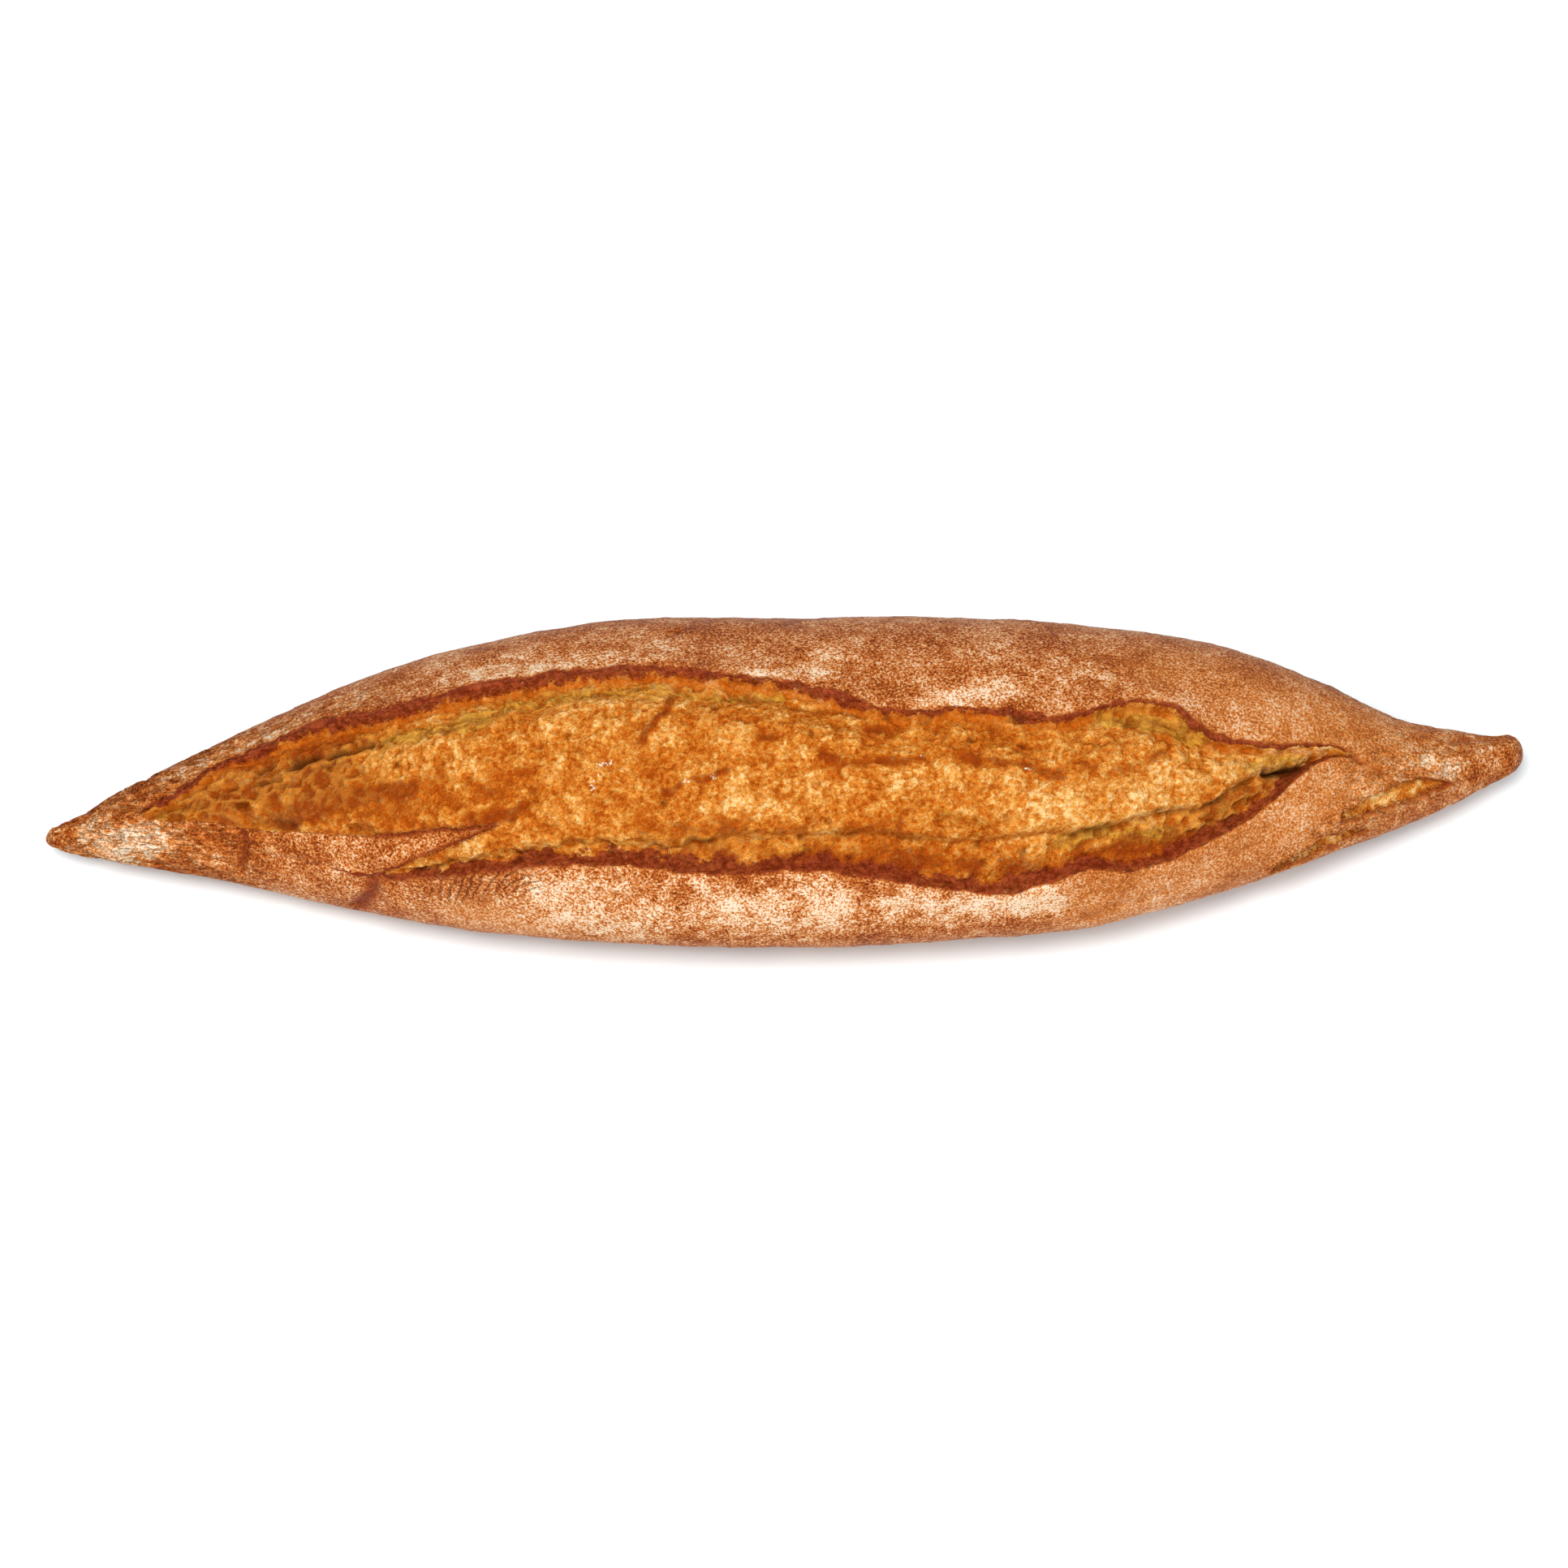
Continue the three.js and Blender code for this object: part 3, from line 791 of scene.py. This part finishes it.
# Holes, the crevice and deep pores are painted dark: painted shade in the hollows
in_crevice = bell(from_crevice + 0.2, 0.7) * broken * crumb * smooth(0.8, 2.0, crevice_depth)
pit_shade = np.maximum.reduce([
    np.clip(-0.36 * holes - 0.1, 0, 0.9), 0.6 * in_crevice,
    0.6 * spots(deep_pore, 0.06, 0.18, 0.6) * torn,
])
swirl = marks(SWIRLED) * (1 - torn)
ember = window(0.6, 1.4, 2.0, 4.5, below_rear) * slash_length * crumb
wrinkled = np.clip(tip * (0.35 + 0.65 * left_end) + strokes(WRINKLED), 0, 1) * (1 - torn)
SKIN_FACTS = {
    "crumb": torn, "bake_and_painted_shade": bake_and_painted_shade, "pale": pale, "highlight_and_warm_crust": highlight_and_warm_crust, "flour_and_glints": flour_and_glints, "pit_shade": pit_shade,
    "crest_light_and_shade": crest_light_and_shade, "wrinkled": wrinkled, "toast_and_valley_shade": toast_and_valley_shade, "swirl": swirl, "ember": ember,
    "wall": wall, "bowl": bowl,
}
for fact, values in SKIN_FACTS.items():
    print(fact, "mean", round(float(values.mean()), 3))

# %% [markdown]
# ## The mesh
# The grid becomes four-sided faces between its stations and columns, and a fan of triangles
# closes each tip on one vertex. The UV map unrolls the same grid: length across, and the way
# round the section upwards, with the seam at the front edge of the sole, where nobody looks.


# %% Faces and UV map
def grid_faces(rows, columns):
    """Quads between neighbouring rows and columns of a grid that closes on itself round the
    section, and fans of triangles from one pole vertex at each end. The poles come last."""
    row, column = np.meshgrid(np.arange(rows - 1), np.arange(columns), indexing="ij")
    after = (column + 1) % columns
    quads = np.stack([
        row * columns + column, (row + 1) * columns + column,
        (row + 1) * columns + after, row * columns + after,
    ], -1).reshape(-1, 4)
    ring = np.arange(columns)
    turn = (ring + 1) % columns
    last = (rows - 1) * columns
    first_pole = np.stack([np.full(columns, rows * columns), ring, turn], -1)
    last_pole = np.stack([np.full(columns, rows * columns + 1), last + turn, last + ring], -1)
    return quads, first_pole, last_pole


def corner_map(quads, fans, columns, across, around):
    """UV of each face corner. A corner in the last column's face whose vertex is in column 0
    belongs to the far side of the seam, so it is moved one whole turn on."""
    places = []
    for faces in (quads, *fans):
        wrapped = (faces % columns == 0) & (faces < len(across) * columns)
        wrapped &= (faces % columns == columns - 1).any(1, keepdims=True)
        known = np.minimum(faces, len(across) * columns - 1)
        u = across[known // columns]
        v = around[known // columns, known % columns]
        v = np.where(wrapped, 1.0, v)
        if faces.shape[1] == 3:
            v[:, 0] = v[:, 1:].mean(1)
            u[:, 0] = np.where(faces[:, 1] < columns, 0.0, 1.0)
        places.append(np.stack([u, v], -1).reshape(-1, 2))
    return np.concatenate(places)


inner = POINTS[1:-1]
columns = inner.shape[1]
quads, *fans = grid_faces(inner.shape[0], columns)
vertices = np.concatenate([inner.reshape(-1, 3), POINTS[:1, 0], POINTS[-1:, 0]])
drawn_low, drawn_high = vertices.min(0), vertices.max(0)
middle = np.array([(drawn_low[0] + drawn_high[0]) / 2, (drawn_low[1] + drawn_high[1]) / 2, 0.0])
box_middle = np.array([(node_low.x + node_high.x) / 2, (node_low.y + node_high.y) / 2, node_low.z])
vertices = (vertices - middle) * TO_METRES + box_middle

faces = [*quads.tolist(), *fans[0].tolist(), *fans[1].tolist()]
mesh = bpy.data.meshes.new("baked_loaf")
mesh.from_pydata(vertices, [], faces)
mesh.polygons.foreach_set("use_smooth", np.ones(len(faces), bool))

widths = np.linalg.norm(np.diff(POINTS, axis=1), axis=-1)
round_way = np.cumsum(np.concatenate([np.zeros((len(POINTS), 1)), widths], 1), 1)
closing = np.linalg.norm(POINTS[:, 0] - POINTS[:, -1], axis=-1, keepdims=True)
round_way = round_way / np.maximum(round_way[:, -1:] + closing, 1e-6)
across = (PLACES[1:-1] - PLACES[0]) / (PLACES[-1] - PLACES[0])
uv = mesh.uv_layers.new(name="OFBake")
uv.data.foreach_set("uv", corner_map(quads, fans, columns, across, round_way[1:-1]).ravel())
for fact, values in SKIN_FACTS.items():
    layer = mesh.attributes.new(fact, "FLOAT", "POINT")
    ends = [values[0].mean(), values[-1].mean()]
    layer.data.foreach_set("value", np.concatenate([values[1:-1].ravel(), ends]).astype(np.float32))
mesh.update()

loaf = bpy.data.objects.new("baked_loaf", mesh)
bpy.context.scene.collection.objects.link(loaf)
print("loaf:", len(vertices), "vertices,", len(faces), "faces")

# %% [markdown]
# ## The material
# Crust and crumb meet in one material, because they are one baked skin. Each starts from one
# tone, which noise and vertex facts raise and lower and a row of colour stops turns into colour.
# More facts then lay bake, painted light and shade, flour and stretched skin over it. All
# patterns read Object coordinates, so they keep their size on every part of the loaf.


# %% Node helpers
def new_material(name):
    """A node material with its Principled shader, and the tree that they are in."""
    material = bpy.data.materials.new(name)
    material.use_nodes = True
    return material, material.node_tree, material.node_tree.nodes["Principled BSDF"]


class Recipe:
    """Short names for the nodes of one material: each method adds a node or a few, links their
    inputs and gives back the output, so that a finish reads as a list of steps."""

    def __init__(self, tree):
        self.tree = tree
        self.place = self.add("ShaderNodeTexCoord").outputs["Object"]

    def add(self, kind, **settings):
        node = self.tree.nodes.new(kind)
        for name, value in settings.items():
            setattr(node, name, value)
        return node

    def feed(self, socket, value):
        if isinstance(value, bpy.types.NodeSocket):
            self.tree.links.new(value, socket)
        elif isinstance(value, tuple):
            socket.default_value = (*value, 1.0)[: len(socket.default_value)]
        else:
            socket.default_value = value

    def fact(self, name):
        return self.add("ShaderNodeAttribute", attribute_name=name).outputs["Fac"]

    def noise(self, scale, detail=2.0, rough=0.5, warp=0.0, stretch=(1, 1, 1), shift=(0, 0, 0)):
        mapping = self.add("ShaderNodeMapping")
        self.feed(mapping.inputs["Vector"], self.place)
        mapping.inputs["Scale"].default_value = stretch
        mapping.inputs["Location"].default_value = shift
        node = self.add("ShaderNodeTexNoise")
        self.feed(node.inputs["Vector"], mapping.outputs[0])
        node.inputs["Scale"].default_value = scale
        node.inputs["Detail"].default_value = detail
        node.inputs["Roughness"].default_value = rough
        node.inputs["Distortion"].default_value = warp
        return node.outputs["Fac"]

    def span(self, value, low, high, start=0.0, end=1.0):
        node = self.add("ShaderNodeMapRange", interpolation_type="SMOOTHSTEP")
        for name, given in zip(("Value", "From Min", "From Max", "To Min", "To Max"),
                               (value, low, high, start, end)):
            self.feed(node.inputs[name], given)
        return node.outputs["Result"]

    def math(self, operation, *values):
        node = self.add("ShaderNodeMath", operation=operation)
        for socket, value in zip(node.inputs, values):
            self.feed(socket, value)
        return node.outputs[0]

    def plus(self, value, field, amount):
        """A value with a field added that is centred on a half."""
        return self.math("MULTIPLY_ADD", self.math("SUBTRACT", field, 0.5), amount, value)

    def lift(self, value, fact, amount):
        """A value raised by an amount where a fact is 1, and by its share where it is less."""
        return self.math("MULTIPLY_ADD", fact, amount, value)

    def edge(self, fact, field, wobble, low=0.38, high=0.62):
        """A fact with its soft border made crisp and ragged: noise is added before a narrow span."""
        return self.span(self.plus(fact, field, wobble), low, high)

    def ramp(self, value, tones):
        """A colour for each tone between the stops (place, colour), which rise in place."""
        node = self.add("ShaderNodeValToRGB")
        self.feed(node.inputs["Fac"], value)
        stops = node.color_ramp.elements
        stops.remove(stops[1])
        for number, (place, colour) in enumerate(tones):
            stop = stops.new(place) if number else stops[0]
            stop.position = place
            stop.color = (*colour, 1.0)
        return node.outputs["Color"]

    def blend(self, share, first, second):
        node = self.add("ShaderNodeMix", data_type="FLOAT")
        self.feed(node.inputs[0], share)
        self.feed(node.inputs[2], first)
        self.feed(node.inputs[3], second)
        return node.outputs[0]

    def mix(self, share, first, second):
        node = self.add("ShaderNodeMix", data_type="RGBA")
        self.feed(node.inputs[0], share)
        self.feed(node.inputs[6], first)
        self.feed(node.inputs[7], second)
        return node.outputs[2]

    def lay(self, under, share, strength, over):
        """A colour laid over another by a share that is scaled by a strength."""
        return self.mix(self.math("MULTIPLY", share, strength), under, over)

    def rims(self, field, wide, narrow):
        """1 along the thin lines where a field crosses its mean, and 0 a little away from them."""
        away = self.math("ABSOLUTE", self.math("SUBTRACT", field, 0.5))
        return self.span(away, wide, narrow)


# %% [markdown]
# ### Crust
# The bare crust is a reddish brown that turns tan over centimetres, and orange at the right
# shoulder. Grains of flour sit on it as light flecks under a millimetre across, with dark skin
# between. The more flour a vertex has, the more of its grains show, until they run together.

# %% Crust colour
CRUST_DARK = (0.130, 0.020, 0.0025)
CRUST_TONES = [
    (0.38, CRUST_DARK), (0.46, (0.31, 0.062, 0.008)), (0.53, (0.45, 0.135, 0.024)),
    (0.60, (0.58, 0.280, 0.108)), (0.68, (0.74, 0.590, 0.430)),
]
FLOUR_WHITE = (0.74, 0.62, 0.46)
LIP_RED = (0.125, 0.011, 0.003)
LIP_EDGE = (0.28, 0.046, 0.015)
WARM_ORANGE = (0.56, 0.185, 0.030)
# Noise cells in a metre: grains of flour, flakes, clumps of millimetres, patches of centimetres
GRAINS = 1500.0
FLAKES = 620.0
CLUMPS = 240.0
PATCHES = 65.0
# Middle of the rings as a place on the skin, and how fast their sine turns, in radians a metre
SWIRL_PLACE = (-60.0, 7.0)
SWIRL_TURN = 3000.0


def long_lines(r):
    """Thin dark lines that run along the loaf, painted shade in the wrinkles' grooves: where noise
    stretched tenfold crosses its mean.
    """
    field = r.noise(420.0, 3.0, 0.6, 0.4, (0.10, 1.0, 1.0), (4, 2, 9))
    return r.math("MULTIPLY", r.rims(field, 0.040, 0.008), r.fact("wrinkled"))


def ring_lines(r):
    """Rings round one place on the skin: a sine of the distance to it, bent by noise."""
    x, angle = (np.array([value]) for value in SWIRL_PLACE)
    place = (plain_skin(x, angle)[0][0] - middle) * TO_METRES
    mapping = r.add("ShaderNodeMapping")
    r.feed(mapping.inputs["Vector"], r.place)
    mapping.inputs["Location"].default_value = tuple(-(place + box_middle))
    length = r.add("ShaderNodeVectorMath", operation="LENGTH")
    r.feed(length.inputs[0], mapping.outputs[0])
    bend = r.math("MULTIPLY", r.noise(130.0, 2.0, 0.5, shift=(8, 8, 1)), 13.0)
    wave = r.math("SINE", r.math("MULTIPLY_ADD", length.outputs["Value"], SWIRL_TURN, bend))
    return r.math("MULTIPLY", r.span(wave, 0.60, 0.95), r.fact("swirl"))


def crust_colour(r):
    """One tone, from fine and slow noise, flour and toast, runs through five stops from dark pores
    to flour. Orange, thin dark lines of painted shade in the grooves and, grain by grain, the lips'
    red, which also stands for painted shade in creases and under the rear lip, are laid over it."""
    streaks = r.noise(1100.0, 3.0, 0.65, 0.5, (0.2, 1.0, 1.0), (3, 3, 3))
    grain = r.noise(GRAINS, 3.0, 0.72)
    fine = r.blend(r.math("MULTIPLY", r.fact("wrinkled"), 0.42), grain, streaks)
    clump = r.noise(CLUMPS, 3.0, 0.65, shift=(3, 1, 2))
    flour_and_glints = r.edge(r.fact("flour_and_glints"), clump, 1.0, 0.08, 0.92)
    tone = r.plus(fine, clump, 0.24)
    tone = r.plus(tone, r.noise(PATCHES, 2.0, 0.6), 0.26)
    tone = r.lift(tone, flour_and_glints, 0.125)
    tone = r.lift(tone, r.fact("highlight_and_warm_crust"), 0.04)
    tone = r.lift(tone, r.math("MAXIMUM", r.fact("toast_and_valley_shade"), r.fact("bake_and_painted_shade")), -0.10)
    colour = r.ramp(tone, CRUST_TONES)
    colour = r.lay(colour, r.fact("highlight_and_warm_crust"), 0.28, WARM_ORANGE)
    # Painted shade in the grooves of the wrinkles and the rings
    lines = r.math("MAXIMUM", r.math("MULTIPLY", long_lines(r), 0.65), ring_lines(r))
    colour = r.lay(colour, lines, 0.6, CRUST_DARK)
    return lip_colour(r, colour, fine)


def lip_colour(r, colour, grain):
    """The lips' dark red over a colour, where the bake fact plus noise passes a narrow span. That fact
    also holds painted shade in creases and just under the rear lip, which get the same red.
    """
    red = r.mix(r.span(r.noise(FLAKES, 4.0, 0.7), 0.40, 0.62), LIP_RED, LIP_EDGE)
    return r.lay(colour, r.edge(r.fact("bake_and_painted_shade"), grain, 2.4, 0.22, 0.78), 0.92, red)


# %% [markdown]
# ### Crumb
# The torn crumb toasts from gold to deep orange, flake by flake, and the rims of the flakes, the
# crests and the raised walls between burst bubbles are painted lighter, as painted highlight.
# Where it was stretched it stays pale and a little green. The bright swells are nearly yellow,
# partly paler crumb and partly painted highlight. The valleys, the bowls of burst bubbles, the
# pits and the crevice are painted dark and red, as painted shade.

# %% Crumb colour
CRUMB_TONES = [
    (0.33, (0.33, 0.054, 0.002)), (0.42, (0.48, 0.116, 0.007)), (0.49, (0.56, 0.186, 0.022)),
    (0.57, (0.71, 0.316, 0.064)), (0.66, (0.89, 0.570, 0.250)),
]
STRETCHED = (0.61, 0.315, 0.035)
STRETCHED_DARK = (0.27, 0.085, 0.006)
TOAST_RED = (0.22, 0.026, 0.002)
EMBER = (0.46, 0.090, 0.003)
# Gold painted on the raised walls of burst bubbles as painted highlight, and amber in their bowls as
# painted shade
WALL_HIGHLIGHT_GOLD = (0.66, 0.27, 0.035)
BOWL_SHADE_AMBER = (0.30, 0.085, 0.005)
# Painted shade in holes, deep pores and the crevice
PIT_SHADE = (0.060, 0.009, 0.001)


def crumb_height(r):
    """The flaky field that raises the crumb and also lightens it, so that high flakes are painted
    gold: partly the flakes' own colour and partly painted highlight.
    """
    return r.noise(FLAKES, 4.0, 0.68, 0.3, shift=(1, 5, 2))


def flake_rims(r):
    """Thin rims of the flakes: where a warped noise crosses its mean."""
    return r.rims(r.noise(480.0, 3.0, 0.6, 0.7, shift=(5, 5, 5)), 0.035, 0.005)


def crumb_colour(r):
    """One tone, from flakes, crests painted lighter and hollows darker, painted highlight and toast,
    runs through five stops. Ember, stretched skin, toast with painted shade in the valleys, web
    walls with painted highlight and bowls with painted shade, lips, painted shade in the pits, and
    flour with painted glints are laid over it in turn, each by its own vertex fact."""
    fine = r.noise(1300.0, 2.0, 0.7, shift=(6, 2, 3))
    flake = crumb_height(r)
    tone = r.math("ADD", r.math("MULTIPLY", fine, 0.3), r.math("MULTIPLY", flake, 0.7))
    tone = r.plus(tone, r.noise(150.0, 3.0, 0.6, 0.5, (0.6, 1.0, 1.0), (2, 7, 1)), 0.22)
    # Crests painted lighter and hollows darker: painted highlight and painted shade
    tone = r.plus(tone, r.fact("crest_light_and_shade"), 0.12)
    # Painted highlight on the bright swells of the crumb, and the crust's warm orange
    tone = r.lift(tone, r.fact("highlight_and_warm_crust"), 0.09)
    tone = r.lift(tone, r.fact("toast_and_valley_shade"), -0.075)
    # Painted highlight along the rims of the flakes
    tone = r.plus(tone, flake_rims(r), 0.07)
    colour = r.ramp(tone, CRUMB_TONES)
    colour = r.lay(colour, r.edge(r.fact("ember"), flake, 1.9), 0.5, EMBER)
    mottle = r.span(r.noise(300.0, 3.0, 0.65, shift=(1, 1, 4)), 0.40, 0.60)
    skin = r.mix(mottle, STRETCHED_DARK, STRETCHED)
    colour = r.lay(colour, r.edge(r.fact("pale"), flake, 1.5), 0.7, skin)
    # Toast, with painted shade in the valleys between the lumps
    colour = r.lay(colour, r.edge(r.fact("toast_and_valley_shade"), flake, 2.2, 0.5, 0.9), 0.7, TOAST_RED)
    # Painted shade in the bowls of burst bubbles and painted highlight on their walls
    colour = r.lay(colour, r.fact("bowl"), 0.65, BOWL_SHADE_AMBER)
    colour = r.lay(colour, r.fact("wall"), 0.60, WALL_HIGHLIGHT_GOLD)
    colour = lip_colour(r, colour, fine)
    # Painted shade in holes, deep pores and the crevice
    colour = r.mix(r.fact("pit_shade"), colour, PIT_SHADE)
    # Flour on the crust, and glints painted white on the crumb
    return r.mix(r.edge(r.fact("flour_and_glints"), fine, 3.2, 0.75, 0.95), colour, FLOUR_WHITE)


# %% [markdown]
# ### Gloss and fine bump
# The crumb has a little shine, the bare crust less, and flour almost none. What shine there is
# has a warm tint, because it comes through a toasted skin. The mesh already has the shape down
# to a millimetre, so the bump adds only grains, fine grooves and the finest flakes.

# %% Build the material
CRUST_ROUGHNESS = 0.58
FLOUR_ROUGHNESS = 0.92
CRUMB_ROUGHNESS = 0.50
# Heights of the bump, in metres
CRUST_BUMP = 0.0004
CRUMB_BUMP = 0.0012
RIM_BUMP = 0.00012
SKIN_SPECULAR = 0.14
WARM_SPECULAR = (1.0, 0.50, 0.20, 1.0)

material, tree, shader = new_material("baked_crust_and_crumb")
r = Recipe(tree)
crumb_share = r.edge(r.fact("crumb"), r.noise(900.0, 2.0, 0.6), 1.2)
colour = r.mix(crumb_share, crust_colour(r), crumb_colour(r))
r.feed(shader.inputs["Base Color"], colour)
crust_rough = r.span(r.fact("flour_and_glints"), 0.0, 0.8, CRUST_ROUGHNESS, FLOUR_ROUGHNESS)
crumb_rough = r.span(r.noise(500.0, 2.0), 0.3, 0.7, CRUMB_ROUGHNESS - 0.1, CRUMB_ROUGHNESS + 0.2)
r.feed(shader.inputs["Roughness"], r.blend(crumb_share, crust_rough, crumb_rough))
shader.inputs["Specular IOR Level"].default_value = SKIN_SPECULAR
shader.inputs["Specular Tint"].default_value = WARM_SPECULAR
grains = r.math("MULTIPLY", r.noise(GRAINS, 2.0, 0.7), CRUST_BUMP)
grooves = r.math("MAXIMUM", long_lines(r), ring_lines(r))
crust_height = r.lift(grains, grooves, -CRUST_BUMP)
flakes = r.math("MULTIPLY", crumb_height(r), CRUMB_BUMP)
flakes = r.lift(flakes, flake_rims(r), RIM_BUMP)
bump = r.add("ShaderNodeBump")
bump.inputs["Strength"].default_value = 1.0
bump.inputs["Distance"].default_value = 1.0
r.feed(bump.inputs["Height"], r.blend(crumb_share, crust_height, flakes))
r.feed(shader.inputs["Normal"], bump.outputs["Normal"])
mesh.materials.append(material)
print("material nodes:", len(tree.nodes))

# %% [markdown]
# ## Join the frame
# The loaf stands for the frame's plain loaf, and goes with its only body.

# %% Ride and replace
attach(loaf, "root")
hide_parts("loaf")
print("pieces:", [loaf.name])

# %% [markdown]
# ## Floor, light and camera
# The loaf lies on a round white table. A soft light from the front left, well above the loaf,
# gives it form and a close shadow, and a weaker one from the front right and an even surround
# fill that shadow. The camera looks across the loaf from sixty degrees above the table, with a
# long lens.

# %% Floor
FLOOR_RADIUS = 0.75
FLOOR_CORNERS = 96
# The table top lies a hair under the sole, so that the two faces don't fight
FLOOR_GAP = 0.0002
TABLE_WHITE = (0.80, 0.83, 0.84, 1)
TABLE_ROUGHNESS = 0.9


def floor_points(radius, corners):
    """Corners of a disc on the table plane, by the cosine and sine of even turns."""
    turn = np.arange(corners) * 2 * np.pi / corners
    return np.stack([radius * np.cos(turn), radius * np.sin(turn), 0 * turn], -1)


floor_mesh = bpy.data.meshes.new("table_top")
floor_mesh.from_pydata(floor_points(FLOOR_RADIUS, FLOOR_CORNERS), [], [tuple(range(FLOOR_CORNERS))])
floor = bpy.data.objects.new("table_top", floor_mesh)
bpy.context.scene.collection.objects.link(floor)
floor.location.z = node_low.z - FLOOR_GAP
floor_material, _, floor_shader = new_material("white_table")
floor_shader.inputs["Base Color"].default_value = TABLE_WHITE
floor_shader.inputs["Roughness"].default_value = TABLE_ROUGHNESS
floor_mesh.materials.append(floor_material)
print("floor radius:", FLOOR_RADIUS, "m")


# %% Light
# The surround lights the loaf softly, but the camera sees it as plain white behind the table
SURROUND_LIGHT = 0.52
SURROUND_SEEN = 1.1
SURROUND_WHITE = (0.96, 0.985, 1.0, 1)


def area_light(name, power, size, location, target=(0.0, 0.0, 0.0)):
    """A square soft light that faces its target: its -Z axis points from its place to there."""
    light = bpy.data.lights.new(name, "AREA")
    light.energy = power
    light.size = size
    lamp = bpy.data.objects.new(name, light)
    bpy.context.scene.collection.objects.link(lamp)
    lamp.location = location
    aim = np.array(target) - np.array(location)
    lamp.rotation_euler = (
        math.atan2(math.hypot(aim[0], aim[1]), -aim[2]), 0.0, math.atan2(aim[0], -aim[1]) + math.pi,
    )
    return lamp


scene = bpy.context.scene
world = bpy.data.worlds.new("soft_surround")
scene.world = world
world.use_nodes = True
surround = world.node_tree.nodes["Background"]
surround.inputs["Color"].default_value = SURROUND_WHITE
seen = world.node_tree.nodes.new("ShaderNodeLightPath")
strength = world.node_tree.nodes.new("ShaderNodeMapRange")
strength.inputs["To Min"].default_value = SURROUND_LIGHT
strength.inputs["To Max"].default_value = SURROUND_SEEN
world.node_tree.links.new(seen.outputs["Is Camera Ray"], strength.inputs["Value"])
world.node_tree.links.new(strength.outputs["Result"], surround.inputs["Strength"])
area_light("soft_key", 18.0, 0.6, (-0.24, -0.40, 1.3))
area_light("front_fill", 8.0, 1.0, (0.45, -1.0, 1.0))
scene.view_settings.view_transform = "Standard"

# %% Camera
CAMERA_LENS = 85.0
CAMERA_ELEVATION = math.radians(60.0)
CAMERA_DISTANCE = 2.465 * DRAWN_LENGTH * TO_METRES
CAMERA_TARGET = (-0.0014, -0.0014, 0.025)

camera_data = bpy.data.cameras.new("camera")
camera_data.lens = CAMERA_LENS
camera_data.sensor_width = 36.0
camera = bpy.data.objects.new("camera", camera_data)
scene.collection.objects.link(camera)
camera.location = (
    CAMERA_TARGET[0],
    CAMERA_TARGET[1] - CAMERA_DISTANCE * math.cos(CAMERA_ELEVATION),
    CAMERA_TARGET[2] + CAMERA_DISTANCE * math.sin(CAMERA_ELEVATION),
)
camera.rotation_euler = (math.pi / 2 - CAMERA_ELEVATION, 0.0, 0.0)
scene.camera = camera
print("camera:", [round(v, 3) for v in camera.location])
